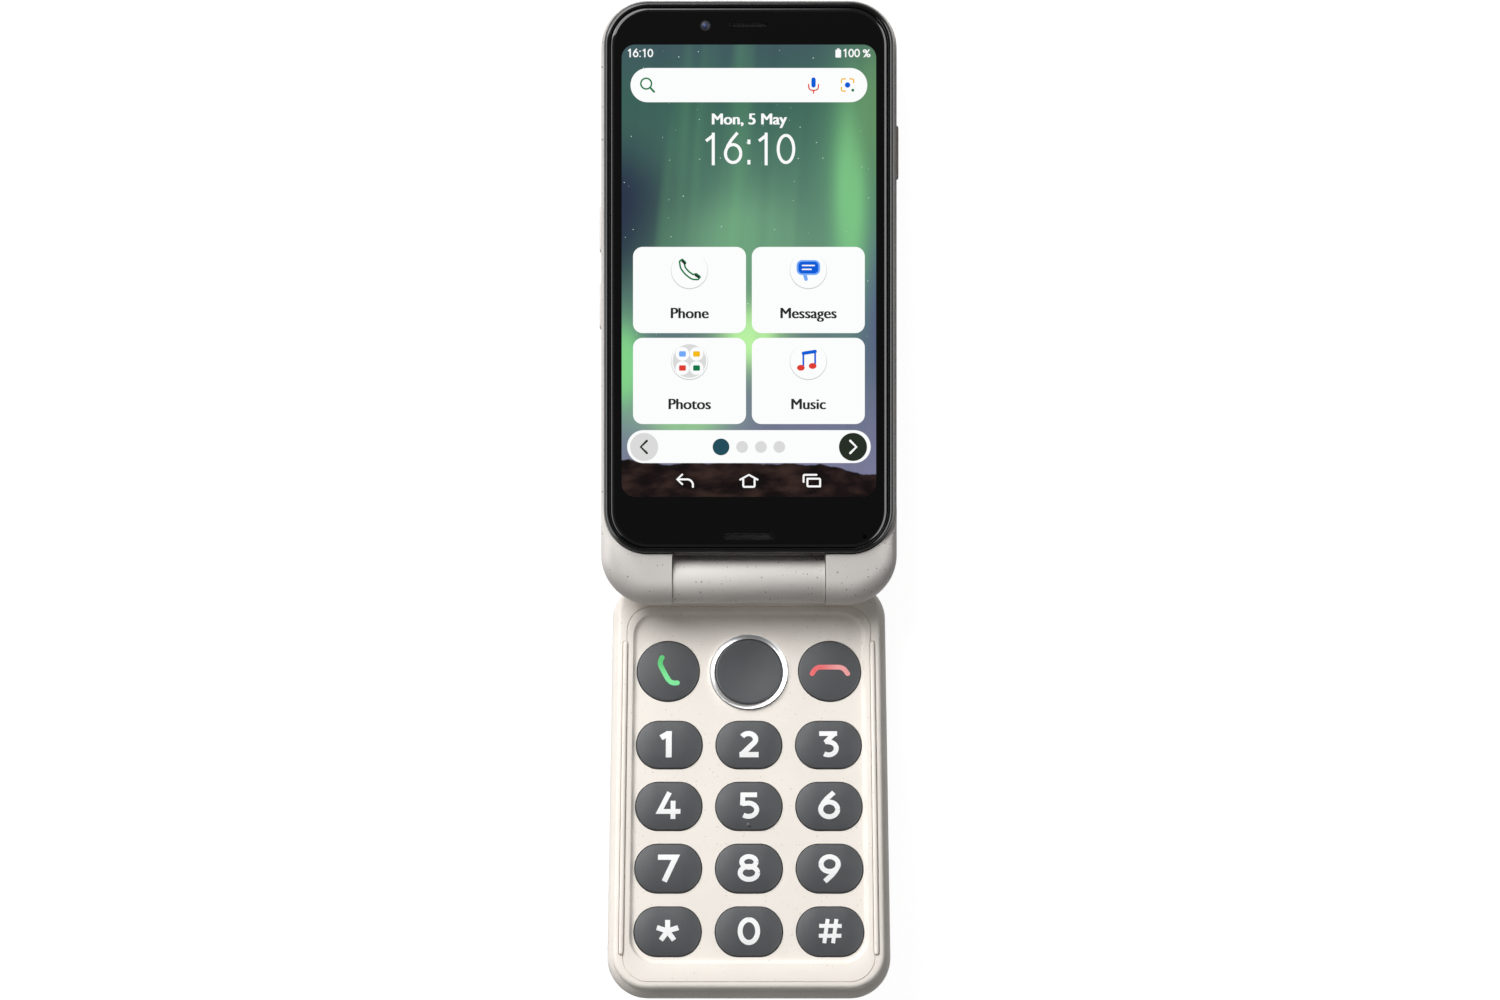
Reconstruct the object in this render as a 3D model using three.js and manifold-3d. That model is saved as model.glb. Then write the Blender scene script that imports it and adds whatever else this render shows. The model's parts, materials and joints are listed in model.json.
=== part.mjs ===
// A folding smartphone: a screen half with a touch screen, and a narrower and shorter keypad half that
// folds over the screen on a barrel hinge. It lies open on a table, at the hinge's open stop, and rests on
// two lines: the back edge of the screen half's far end, and the keypad half's back edge at the hinge.
// Units are millimetres. X runs along the hinge, Y towards the screen's far end, and Z is up.
import * as THREE from "three";
import { mergeVertices } from "three/addons/utils/BufferGeometryUtils.js";
import Module from "manifold-3d";

const wasm = await Module();
wasm.setup();

// ---------------------------------------------------------------------------------- driving dimensions

const OPEN_RISE = THREE.MathUtils.degToRad(19); // how far the keypad half stands up from the screen's plane
const GAP = 0.3; // between pieces that rest on each other
const SLIT = 0.2; // round keys and covers, where the gap shows
const WALL = 1.3; // moulded shells
const FAR = 200; // reach of a cutting block

// Both halves are drawn about the hinge axis: Z is out of the glass, or out of the keys.
const HINGE = { radius: 5.5, barrelRadius: 5.2, barrelHalf: 16.7, earInner: 17, pinRadius: 1.9, pinEnd: 24 };

const SCREEN = {
  halfWidth: 32.8,
  far: 128.7,
  chin: 5.6, // where the black frame begins, just past the barrel
  edge: 3, // rounding of the back's edge
  seat: 2, // the plane where the frame sits on the shell
  front: 6.5, // the glass's face
  chinCorner: 11,
  farCorner: 10.5,
};
const FRAME = { halfWidth: 32.1, far: 128, corner: 9.8, bevel: 0.9 };
const GLASS = { halfWidth: 30.6, low: 7.2, high: 126.5, corner: 8.4, thickness: 1.1 };
const WINDOW = { halfWidth: 28.05, low: 18.5, high: 118.4 };
const EARPIECE_Y = 122.5;
const CHIN_SLOT_Y = 9.75;
const COVER = { halfWidth: 28.9, low: 12, high: 92, corner: 3, thickness: 1 };
const CAMERA = { x: 0, y: 113.5, radius: 4.2, flashY: 103.6, windowHalf: 5.4, windowLow: 98.4, windowHigh: 118.9 };

const KEYPAD = {
  rim: 7.3, // distance from the hinge axis to the rim's plane
  thickness: 7.4,
  halfWidth: 30.8,
  near: 3.6, // past the axis, on the screen's side
  far: -91.1,
  corner: 9,
  edge: 2.5,
  lean: 1.3, // how far the side walls lean out below the parting line
  partingDepth: 1.8,
};
const BASIN = { halfWidth: 25.6, low: -84.1, high: -5.2, corner: 5, depth: 0.9 };
const BUMPER = { x: 27.6, low: -82.5, high: -12.1, halfWidth: 0.52, proud: 0.45, sunk: 0.4 };
const KEY = {
  halfWidth: 7.25,
  halfHeight: 5.35,
  endReach: 4.9, // how far each round end reaches past the straight part
  columnPitch: 17.61,
  rowPitch: 13.857,
  firstRow: -35.72,
  below: 0.15, // how far a cap's face lies below the rim
  flange: 0.7,
  flangeThickness: 0.5,
};
const CALL_KEY = { radius: 6.9, x: 18.01, y: -18.81 };
const NAV = { y: -19, capRadius: 7.45, ringInner: 7.7, ringOuter: 8.6 };
const SIDE_KEY = { halfHeight: 1.2, proud: 0.5, z: -0.6, flange: 0.6 };

// The keypad half's stack, as heights from the hinge axis.
const RIM = -KEYPAD.rim;
const PARTING = RIM - KEYPAD.partingDepth;
const KEYPAD_BACK = RIM - KEYPAD.thickness;
const FLOOR = RIM - BASIN.depth;
const BACK = -HINGE.radius;

// ------------------------------------------------------------------------------------------- materials

const finish = (color, roughness, metalness = 0) => new THREE.MeshStandardMaterial({ color, roughness, metalness });
const MATERIALS = {
  stone: finish(0xd9d3cc, 0.55),
  black: finish(0x101011, 0.2),
  glass: finish(0x08080a, 0.05),
  display: finish(0x2f5b52, 0.3),
  key: finish(0x57595b, 0.5),
  ring: finish(0xe9e9ea, 0.2, 0.9),
  steel: finish(0xb4b6b8, 0.35, 1),
  board: finish(0x14402a, 0.6),
  battery: finish(0x2b2d30, 0.6),
  silicone: finish(0xbfbfbb, 0.8),
  film: finish(0xc9c4a8, 0.4),
  lens: finish(0x07080c, 0.05),
  taupe: finish(0x7f7873, 0.45),
};

// --------------------------------------------------------------------------------------------- helpers

/** The closed mesh of a geometry as a solid that can be cut and joined. */
function solidOf(geometry) {
  const bare = geometry.index ? geometry.toNonIndexed() : geometry.clone();
  bare.deleteAttribute("normal");
  bare.deleteAttribute("uv");
  const merged = mergeVertices(bare, 1e-4);
  return new wasm.Manifold(
    new wasm.Mesh({
      numProp: 3,
      vertProperties: new Float32Array(merged.attributes.position.array),
      triVerts: new Uint32Array(merged.index.array),
    }),
  );
}

/** A solid as a geometry with flat facets. */
function geometryOf(solid) {
  const mesh = solid.getMesh();
  const points = new Float32Array(mesh.numVert * 3);
  for (let i = 0; i < mesh.numVert; i++) {
    points.set(mesh.vertProperties.subarray(i * mesh.numProp, i * mesh.numProp + 3), i * 3);
  }
  const geometry = new THREE.BufferGeometry()
    .setAttribute("position", new THREE.BufferAttribute(points, 3))
    .setIndex(new THREE.BufferAttribute(new Uint32Array(mesh.triVerts), 1))
    .toNonIndexed();
  geometry.computeVertexNormals();
  return geometry;
}

/** An upright outline with round corners, between two Y values. */
function outline({ halfWidth, low, high, corner, highCorner = corner, x = 0 }) {
  const left = x - halfWidth;
  const right = x + halfWidth;
  const quarter = Math.PI / 2;
  const shape = new THREE.Shape();
  shape.moveTo(left + corner, low);
  shape.lineTo(right - corner, low);
  shape.absarc(right - corner, low + corner, corner, -quarter, 0, false);
  shape.lineTo(right, high - highCorner);
  shape.absarc(right - highCorner, high - highCorner, highCorner, 0, quarter, false);
  shape.lineTo(left + highCorner, high);
  shape.absarc(left + highCorner, high - highCorner, highCorner, quarter, 2 * quarter, false);
  shape.lineTo(left, low + corner);
  shape.absarc(left + corner, low + corner, corner, 2 * quarter, 3 * quarter, false);
  return shape;
}

/** A closed outline through corner points. */
function polygon(points) {
  return new THREE.Shape(points.map(([x, y]) => new THREE.Vector2(x, y)));
}

/** A rectangle between two corners. */
function rectangle(x0, y0, x1, y1) {
  return polygon([[x0, y0], [x1, y0], [x1, y1], [x0, y1]]);
}

/** A circle about a point. */
function circle(x, y, radius) {
  return new THREE.Shape().absarc(x, y, radius, 0, 2 * Math.PI, false);
}

/** A key's outline: straight above and below, with elliptical ends. */
function keyOutline(x, y, grow = 0) {
  const reach = KEY.endReach + grow;
  const height = KEY.halfHeight + grow;
  const straight = KEY.halfWidth - KEY.endReach;
  const shape = new THREE.Shape();
  shape.moveTo(x - straight, y - height);
  shape.lineTo(x + straight, y - height);
  shape.absellipse(x + straight, y, reach, height, -Math.PI / 2, Math.PI / 2, false);
  shape.lineTo(x - straight, y + height);
  shape.absellipse(x - straight, y, reach, height, Math.PI / 2, 1.5 * Math.PI, false);
  return shape;
}

/** A solid with this outline, between two heights. */
function slab(shape, low, high, curveSegments = 4) {
  const geometry = new THREE.ExtrudeGeometry(shape, { depth: high - low, bevelEnabled: false, curveSegments });
  return solidOf(geometry.translate(0, 0, low));
}

/** A slab whose upper edge is rounded over. */
function softSlab(shape, low, high, bevel, curveSegments = 4) {
  const settings = {
    depth: high - low,
    bevelEnabled: true,
    bevelThickness: bevel,
    bevelSize: bevel,
    bevelOffset: -bevel,
    bevelSegments: 2,
    curveSegments,
  };
  const whole = solidOf(new THREE.ExtrudeGeometry(shape, settings).translate(0, 0, low - bevel));
  return whole.intersect(slab(rectangle(-FAR, -FAR, FAR, FAR), low, high + bevel));
}

/** A solid with this Y-Z profile, between two X values. */
function alongX(shape, from, to, curveSegments = 4) {
  const geometry = new THREE.ExtrudeGeometry(shape, { depth: to - from, bevelEnabled: false, curveSegments });
  const turn = new THREE.Matrix4().makeBasis(
    new THREE.Vector3(0, 1, 0),
    new THREE.Vector3(0, 0, 1),
    new THREE.Vector3(1, 0, 0),
  );
  return solidOf(geometry.applyMatrix4(turn).translate(from, 0, 0));
}

/** A solid with this X-Z profile, between two Y values. */
function alongY(shape, from, to, curveSegments = 4) {
  const geometry = new THREE.ExtrudeGeometry(shape, { depth: to - from, bevelEnabled: false, curveSegments });
  const turn = new THREE.Matrix4().makeBasis(
    new THREE.Vector3(1, 0, 0),
    new THREE.Vector3(0, 0, 1),
    new THREE.Vector3(0, -1, 0),
  );
  return solidOf(geometry.applyMatrix4(turn).translate(0, to, 0));
}

/** A block between two corners. */
function block(x0, y0, z0, x1, y1, z1) {
  return slab(rectangle(x0, y0, x1, y1), z0, z1);
}

/** A rod along the hinge axis. */
function rod(radius, from, to) {
  return alongX(circle(0, 0, radius), from, to, 10);
}

/** Adds a named piece to a half. */
function piece(half, name, solid, material) {
  const mesh = new THREE.Mesh(geometryOf(solid), MATERIALS[material]);
  mesh.name = name;
  half.add(mesh);
}

// -------------------------------------------------------------------------------------- screen half

const screenHalf = new THREE.Group();

/** The outer form of the moulded back, with the chin that wraps the hinge. */
function screenShellForm() {
  const { halfWidth, far, chin, edge, seat, chinCorner, farCorner } = SCREEN;
  const r = HINGE.radius;
  const side = new THREE.Shape();
  side.moveTo(0, -r);
  side.lineTo(far - edge, -r);
  side.absarc(far - edge, edge - r, edge, -Math.PI / 2, 0, false);
  side.lineTo(far, seat);
  side.lineTo(chin, seat);
  side.lineTo(chin, r);
  side.lineTo(0, r);
  side.absarc(0, 0, r, Math.PI / 2, 1.5 * Math.PI, false);
  const plan = outline({ halfWidth, low: -r, high: far, corner: chinCorner, highCorner: farCorner });
  const section = outline({ halfWidth, low: -r, high: r, corner: edge });
  return slab(plan, -r, r, 6).intersect(alongX(side, -FAR, FAR, 5)).intersect(alongY(section, -FAR, FAR, 3));
}

/** A side key's outline in Y and Z, grown by a margin. */
function sideKeyOutline(low, high, grow = 0) {
  const { halfHeight, z } = SIDE_KEY;
  const half = halfHeight + grow;
  const shape = new THREE.Shape();
  shape.moveTo(low - grow + half, z - half);
  shape.lineTo(high + grow - half, z - half);
  shape.absarc(high + grow - half, z, half, -Math.PI / 2, Math.PI / 2, false);
  shape.lineTo(low - grow + half, z + half);
  shape.absarc(low - grow + half, z, half, Math.PI / 2, 1.5 * Math.PI, false);
  return shape;
}

const SIDE_KEYS = [
  { name: "volume_up_key", side: -1, low: 72.9, high: 83.9, material: "stone" },
  { name: "volume_down_key", side: -1, low: 55.8, high: 66.8, material: "stone" },
  { name: "power_key", side: 1, low: 89.2, high: 101.2, material: "taupe" },
];
const CAVITY = SCREEN.halfWidth - WALL;

/** The opening in the far end's wall for the charging socket, grown by a margin. */
function portOutline(grow) {
  return outline({ halfWidth: 4.47 + grow, low: -1.88 - grow, high: 1.38 + grow, corner: 1.2 });
}

function rearShell() {
  const { far, chin } = SCREEN;
  const r = HINGE.radius;
  const cavity = { halfWidth: CAVITY, low: chin + WALL + 0.3, high: far - WALL, corner: 8 };
  let shell = screenShellForm()
    .subtract(slab(outline(cavity), BACK + 1.2, FAR))
    .subtract(slab(outline(COVER), BACK - 1, BACK + 2))
    .subtract(block(-HINGE.earInner, -FAR, -FAR, HINGE.earInner, chin, FAR))
    .subtract(slab(cameraWindow(SLIT), BACK - 1, BACK + 2))
    .subtract(alongY(portOutline(SLIT), far - 4, far + 1));
  for (const sign of [-1, 1]) {
    const ends = [HINGE.earInner - 1, HINGE.pinEnd + GAP].map((x) => sign * x).sort((a, b) => a - b);
    shell = shell.subtract(rod(HINGE.pinRadius + 0.15, ends[0], ends[1]));
  }
  for (const { side, low, high } of SIDE_KEYS) {
    const reach = [CAVITY - 1, SCREEN.halfWidth + 1].map((x) => side * x).sort((a, b) => a - b);
    shell = shell.subtract(alongX(sideKeyOutline(low, high, SLIT), reach[0], reach[1]));
  }
  return shell;
}

function sideKey({ side, low, high }) {
  const ordered = (a, b) => [side * a, side * b].sort((p, q) => p - q);
  const [capFrom, capTo] = ordered(CAVITY - GAP - 0.5, SCREEN.halfWidth + SIDE_KEY.proud);
  const [flangeFrom, flangeTo] = ordered(CAVITY - GAP - 0.5, CAVITY - GAP);
  return alongX(sideKeyOutline(low, high), capFrom, capTo)
    .add(alongX(sideKeyOutline(low, high, SIDE_KEY.flange), flangeFrom, flangeTo));
}

/** The pill-shaped window over the rear camera and its flash. */
function cameraWindow(grow) {
  return outline({
    halfWidth: CAMERA.windowHalf + grow,
    low: CAMERA.windowLow - grow,
    high: CAMERA.windowHigh + grow,
    corner: CAMERA.windowHalf + grow - 0.01,
  });
}

function frontFrame() {
  const { halfWidth, far, corner, bevel } = FRAME;
  const low = SCREEN.chin + GAP;
  const ledge = SCREEN.front - GLASS.thickness - GAP;
  const inner = { ...GLASS, halfWidth: GLASS.halfWidth + SLIT, low: GLASS.low - SLIT, high: GLASS.high + SLIT };
  const through = { halfWidth: 29.4, low: 7.9, high: 125.4, corner: 5.8 };
  return softSlab(outline({ halfWidth, low, high: far, corner }), SCREEN.seat + GAP, SCREEN.front - 0.15, bevel)
    .subtract(slab(outline(inner), ledge, FAR))
    .subtract(slab(outline(through), -FAR, FAR));
}

function coverGlass() {
  const low = SCREEN.front - GLASS.thickness;
  return slab(outline(GLASS), low, SCREEN.front)
    .subtract(slab(outline({ halfWidth: 4.4, low: EARPIECE_Y - 0.53, high: EARPIECE_Y + 0.53, corner: 0.5 }), 0, FAR, 2))
    .subtract(slab(outline({ halfWidth: 5.5, low: CHIN_SLOT_Y - 0.65, high: CHIN_SLOT_Y + 0.65, corner: 0.6 }), 0, FAR, 2))
    .subtract(slab(circle(25.5, CHIN_SLOT_Y, 0.45), 0, FAR, 4));
}

function usbPort() {
  const { far } = SCREEN;
  const shell = alongY(portOutline(0), far - 7.3, far - 0.3);
  const mouth = alongY(portOutline(-0.35), far - 6.6, far + 1);
  const tongue = alongY(rectangle(-3.4, -0.6, 3.4, 0.1), far - 7, far - 1.3);
  return shell.subtract(mouth).add(tongue);
}

function buildScreenHalf() {
  const glassBack = SCREEN.front - GLASS.thickness;
  const add = (name, solid, material) => piece(screenHalf, name, solid, material);
  const coverFit = { ...COVER, halfWidth: COVER.halfWidth - SLIT, low: COVER.low + SLIT, high: COVER.high - SLIT };
  add("rear_shell", rearShell(), "stone");
  add("battery_cover", slab(outline(coverFit), BACK, BACK + COVER.thickness), "stone");
  add("front_frame", frontFrame(), "black");
  add("cover_glass", coverGlass(), "glass");
  add("display_panel", slab(outline({ ...WINDOW, halfWidth: 28.6, low: 15.6, high: 119.4, corner: 1 }), 3.1, glassBack - GAP, 2), "display");
  add("mid_plate", slab(outline({ halfWidth: 29, low: 8.3, high: 125, corner: 6 }), 2, 2.8), "steel");
  add("battery", slab(outline({ halfWidth: 25, low: 15, high: 80, corner: 1.5 }), -3.9, 1.6, 2), "battery");
  add("main_board", slab(outline({ halfWidth: 29.5, low: 84, high: 119, corner: 2 }), 0.5, 1.5, 2), "board");
  add("shield_can", slab(outline({ x: -16, halfWidth: 10, low: 88, high: 117, corner: 1 }), -1.6, 0.2, 2), "steel");
  add("sim_socket", block(7, 85, -1.6, 25, 97, 0.2), "steel");
  add("rear_camera", slab(circle(CAMERA.x, CAMERA.y, CAMERA.radius), -4.4, 0.2), "lens");
  add("flash_lamp", block(-1.4, CAMERA.flashY - 1.4, -4.4, 1.4, CAMERA.flashY + 1.4, -3.4), "film");
  add("camera_window", slab(cameraWindow(0), BACK + 0.1, BACK + 0.8, 5), "lens");
  add("vibration_motor", slab(circle(19, 108, 4), -3, -0.2), "steel");
  add("front_camera", slab(circle(-9.6, EARPIECE_Y - 0.1, 2.2), 3.1, glassBack - GAP), "lens");
  add("earpiece", block(-6, EARPIECE_Y - 2, 3.1, 6, EARPIECE_Y + 2, glassBack - GAP), "steel");
  add("earpiece_mesh", slab(outline({ halfWidth: 4.2, low: EARPIECE_Y - 0.35, high: EARPIECE_Y + 0.35, corner: 0.3 }), 5.5, 5.8, 2), "black");
  add("loudspeaker", block(-8, CHIN_SLOT_Y - 1.2, 3.1, 8, CHIN_SLOT_Y + 3.4, glassBack - GAP), "steel");
  add("chin_mesh", slab(outline({ halfWidth: 5.3, low: CHIN_SLOT_Y - 0.45, high: CHIN_SLOT_Y + 0.45, corner: 0.4 }), 5.5, 5.8, 2), "black");
  add("microphone", block(24.1, CHIN_SLOT_Y - 0.7, 3.7, 26.5, CHIN_SLOT_Y + 1.8, glassBack - GAP), "steel");
  add("usb_port", usbPort(), "steel");
  add("hinge_cam_pin", rod(HINGE.pinRadius, -HINGE.pinEnd, -11), "steel");
  add("hinge_plain_pin", rod(HINGE.pinRadius, 13, HINGE.pinEnd), "steel");
  for (const key of SIDE_KEYS) add(key.name, sideKey(key), key.material);
}

// -------------------------------------------------------------------------------------- keypad half

const keypadHalf = new THREE.Group();

/** The outer form of the moulded back, whose walls lean out below the parting line. */
function keypadShellForm() {
  const { halfWidth, near, far, corner, edge, lean } = KEYPAD;
  const top = PARTING - GAP;
  const wide = KEYPAD_BACK + edge;
  const wall = (inner, outer) => {
    const shape = new THREE.Shape();
    shape.moveTo(inner + lean, top);
    shape.lineTo(inner, wide);
    shape.absarc(inner + edge, wide, edge, Math.PI, 1.5 * Math.PI, false);
    shape.lineTo(outer - edge, KEYPAD_BACK);
    shape.absarc(outer - edge, wide, edge, -Math.PI / 2, 0, false);
    shape.lineTo(outer - lean, top);
    return shape;
  };
  const plan = slab(outline({ halfWidth, low: far, high: near, corner }), KEYPAD_BACK, top, 6);
  return plan
    .intersect(alongX(wall(far, near), -FAR, FAR, 3))
    .intersect(alongY(wall(-halfWidth, halfWidth), -FAR, FAR, 3));
}

const SCREWS = [[-24, -8], [24, -8], [-24, -83], [24, -83]];
const SCREW = { radius: 1.5, head: 0.9, sink: 0.25 };

function keypadRearShell() {
  const { halfWidth, near, far, corner, lean } = KEYPAD;
  const cavity = {
    halfWidth: halfWidth - lean - WALL,
    low: far + lean + WALL,
    high: near - lean - WALL,
    corner: corner - lean - WALL,
  };
  let shell = keypadShellForm().subtract(slab(outline(cavity), KEYPAD_BACK + 1.3, FAR));
  for (const [x, y] of SCREWS) {
    shell = shell.subtract(slab(circle(x, y, SCREW.radius + 0.15), KEYPAD_BACK - 1, KEYPAD_BACK + SCREW.head, 5));
  }
  return shell;
}

const DIGIT_KEYS = ["1", "2", "3", "4", "5", "6", "7", "8", "9", "star", "0", "hash"].map((label, index) => ({
  name: `key_${label}`,
  x: ((index % 3) - 1) * KEY.columnPitch,
  y: KEY.firstRow - Math.floor(index / 3) * KEY.rowPitch,
}));
const CALL_KEYS = [
  { name: "call_key", x: -CALL_KEY.x, y: CALL_KEY.y },
  { name: "end_key", x: CALL_KEY.x, y: CALL_KEY.y },
];

function keypadFrame() {
  const { halfWidth, near, far, corner, lean } = KEYPAD;
  const plan = outline({
    halfWidth: halfWidth - lean,
    low: far + lean,
    high: near - lean,
    corner: corner - lean,
  });
  let frame = softSlab(plan, PARTING, RIM, 0.8, 5)
    .subtract(slab(outline(BASIN), FLOOR, FAR))
    .subtract(block(-HINGE.barrelHalf - SLIT, -3.2, -FAR, HINGE.barrelHalf + SLIT, 1.5, FAR))
    .subtract(slab(circle(0, NAV.y, NAV.ringOuter + SLIT), -FAR, FAR, 10));
  for (const sign of [-1, 1]) {
    const seat = outline({
      x: sign * BUMPER.x,
      halfWidth: BUMPER.halfWidth + 0.1,
      low: BUMPER.low - 0.1,
      high: BUMPER.high + 0.1,
      corner: BUMPER.halfWidth,
    });
    frame = frame.subtract(slab(seat, RIM - BUMPER.sunk - 0.1, FAR, 3));
  }
  for (const { x, y } of DIGIT_KEYS) frame = frame.subtract(slab(keyOutline(x, y, SLIT), -FAR, FAR));
  for (const { x, y } of CALL_KEYS) frame = frame.subtract(slab(circle(x, y, CALL_KEY.radius + SLIT), -FAR, FAR, 8));
  return frame;
}

/** A key cap with the flange that keeps it behind the frame. */
function keyCap(cap, flange, segments) {
  const flangeTop = PARTING - GAP;
  return slab(cap, flangeTop - KEY.flangeThickness, RIM - KEY.below, segments)
    .add(slab(flange, flangeTop - KEY.flangeThickness, flangeTop, segments));
}

function bumper(sign) {
  const shape = outline({
    x: sign * BUMPER.x,
    halfWidth: BUMPER.halfWidth,
    low: BUMPER.low,
    high: BUMPER.high,
    corner: BUMPER.halfWidth - 0.01,
  });
  return slab(shape, RIM - BUMPER.sunk, RIM + BUMPER.proud, 3);
}

/** The knuckle between the ears, with the neck and foot that hold it in the frame. */
function hingeBarrel() {
  const { barrelHalf, barrelRadius } = HINGE;
  return rod(barrelRadius, -barrelHalf, barrelHalf)
    .add(block(-barrelHalf, -3, PARTING - GAP - 0.8, barrelHalf, 0.6, -2))
    .add(block(-barrelHalf, -5, PARTING - GAP - 0.8, barrelHalf, 0.6, PARTING - GAP))
    .subtract(rod(3.9, -FAR, FAR));
}

/** The bright trim round the navigation key, sloping down towards it, on a flange under the frame. */
function navRing() {
  const { ringInner, ringOuter, y } = NAV;
  const flangeLow = PARTING - GAP - 0.4;
  const profile = [
    [ringInner, flangeLow],
    [ringOuter + 0.8, flangeLow],
    [ringOuter + 0.8, PARTING - GAP],
    [ringOuter, PARTING - GAP],
    [ringOuter, RIM - 0.3],
    [ringOuter - 0.3, RIM - 0.2],
    [ringInner, RIM - 0.65],
    [ringInner, flangeLow],
  ].map(([radius, z]) => new THREE.Vector2(radius, z));
  return solidOf(new THREE.LatheGeometry(profile, 40).rotateX(Math.PI / 2).translate(0, y, 0));
}

function buildKeypadHalf() {
  const add = (name, solid, material) => piece(keypadHalf, name, solid, material);
  const inner = { halfWidth: 27.4, low: -87, high: -6, corner: 5 };
  add("keypad_frame", keypadFrame(), "stone");
  add("keypad_rear_shell", keypadRearShell(), "stone");
  add("hinge_barrel", hingeBarrel(), "stone");
  add("hinge_cartridge", rod(3.7, -16.5, -2).subtract(rod(HINGE.pinRadius + 0.15, -FAR, -10.6)), "steel");
  add("hinge_bush", rod(3.7, 12.6, 16.5).subtract(rod(HINGE.pinRadius + 0.15, -FAR, FAR)), "steel");
  add("hinge_flex", rod(3.4, -1, 12).subtract(rod(3, -FAR, FAR)), "film");
  add("left_bumper", bumper(-1), "stone");
  add("right_bumper", bumper(1), "stone");
  add("keypad_mat", slab(outline(inner), -11.5, -11, 3).subtract(slab(circle(0, NAV.y, 3), -FAR, FAR, 4)), "silicone");
  add("dome_sheet", slab(outline(inner), -12.45, -12.3, 3), "film");
  add("keypad_board", slab(outline(inner), -13.3, -12.6, 3), "board");
  add("closing_magnet", block(-3, -86, -10.6, 3, -84.4, -9.5), "steel");
  add("nav_ring", navRing(), "ring");
  SCREWS.forEach(([x, y], index) => {
    const head = slab(circle(x, y, SCREW.radius), KEYPAD_BACK + SCREW.sink, KEYPAD_BACK + SCREW.head - 0.1, 5);
    add(`keypad_screw_${index + 1}`, head, "steel");
  });
  for (const { name, x, y } of DIGIT_KEYS) {
    add(name, keyCap(keyOutline(x, y), keyOutline(x, y, KEY.flange), 4), "key");
  }
  for (const { name, x, y } of CALL_KEYS) {
    add(name, keyCap(circle(x, y, CALL_KEY.radius), circle(x, y, CALL_KEY.radius + KEY.flange), 8), "key");
  }
  add("nav_plunger", slab(circle(0, NAV.y, 2), -11.65, -10.65), "silicone");
  add("nav_carrier", slab(circle(0, NAV.y, 7), -10.35, -9.85, 8), "silicone");
  add("nav_key", slab(circle(0, NAV.y, NAV.capRadius), -9.3, RIM - 0.45, 10), "key");
}

// ------------------------------------------------------------------------------------- resting pose

/** How far the screen's plane tips so that both halves touch the table, along the line under two edge arcs. */
function restingTilt() {
  const screenArc = new THREE.Vector2(SCREEN.far - SCREEN.edge, BACK + SCREEN.edge);
  const keypadArc = new THREE.Vector2(KEYPAD.near - KEYPAD.edge, KEYPAD_BACK + KEYPAD.edge)
    .rotateAround(new THREE.Vector2(0, 0), -OPEN_RISE);
  const span = screenArc.clone().sub(keypadArc);
  const slope = span.angle() - Math.asin((SCREEN.edge - KEYPAD.edge) / span.length());
  return { slope, lowest: keypadArc.rotateAround(new THREE.Vector2(0, 0), -slope).y - KEYPAD.edge };
}

buildScreenHalf();
buildKeypadHalf();
keypadHalf.rotation.x = -OPEN_RISE;

const { slope, lowest } = restingTilt();
const phone = new THREE.Group();
phone.add(screenHalf, keypadHalf);
phone.rotation.x = -slope;
phone.position.z = -lowest;

// The frame's origin is on the table, under the middle of the open phone.
const whole = new THREE.Group();
whole.add(phone);
whole.updateMatrixWorld(true);
const middle = new THREE.Box3().setFromObject(phone, true).getCenter(new THREE.Vector3());
phone.position.x -= middle.x;
phone.position.y -= middle.y;

export default whole;
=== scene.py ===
"""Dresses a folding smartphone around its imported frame.

The phone lies open on a table. Each half is modelled in its own frame, in millimetres: X runs along the
hinge, Y from the hinge towards the screen's far end, and Z out of the glass or out of the keys, with the
origin on the hinge axis. A finished piece is placed in the row frame, in metres.
"""

import sys
import json
import logging
import math
from dataclasses import dataclass, replace
from enum import Enum
from functools import partialmethod
from typing import ClassVar, Iterable, Optional, Sequence, Union

import bmesh
import bpy
from mathutils import Matrix, Vector
from mathutils.bvhtree import BVHTree


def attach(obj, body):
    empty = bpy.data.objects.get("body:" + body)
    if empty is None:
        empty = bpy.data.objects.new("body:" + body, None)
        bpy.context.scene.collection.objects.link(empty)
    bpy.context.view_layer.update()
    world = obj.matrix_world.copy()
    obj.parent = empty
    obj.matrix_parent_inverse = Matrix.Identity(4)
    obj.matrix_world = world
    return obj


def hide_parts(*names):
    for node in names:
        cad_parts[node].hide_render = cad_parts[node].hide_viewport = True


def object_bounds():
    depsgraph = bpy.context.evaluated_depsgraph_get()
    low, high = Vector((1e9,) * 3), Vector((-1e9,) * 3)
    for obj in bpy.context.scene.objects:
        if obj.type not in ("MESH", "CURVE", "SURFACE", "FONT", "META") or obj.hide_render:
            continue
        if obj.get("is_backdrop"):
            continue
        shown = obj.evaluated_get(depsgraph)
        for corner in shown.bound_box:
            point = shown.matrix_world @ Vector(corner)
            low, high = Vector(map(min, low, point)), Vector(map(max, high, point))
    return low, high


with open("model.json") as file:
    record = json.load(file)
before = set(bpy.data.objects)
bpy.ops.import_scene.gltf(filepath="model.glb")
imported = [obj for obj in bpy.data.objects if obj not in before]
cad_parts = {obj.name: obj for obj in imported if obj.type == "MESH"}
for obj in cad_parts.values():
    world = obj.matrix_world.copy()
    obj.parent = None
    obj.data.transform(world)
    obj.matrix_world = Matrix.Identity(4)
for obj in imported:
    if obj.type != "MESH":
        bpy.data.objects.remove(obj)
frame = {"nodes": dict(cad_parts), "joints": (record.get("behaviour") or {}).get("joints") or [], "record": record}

log = logging.getLogger("folding_phone")

MM = 0.001
QUARTER = math.pi / 2
Colour = tuple[float, float, float]
Point = tuple[float, float]


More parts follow.
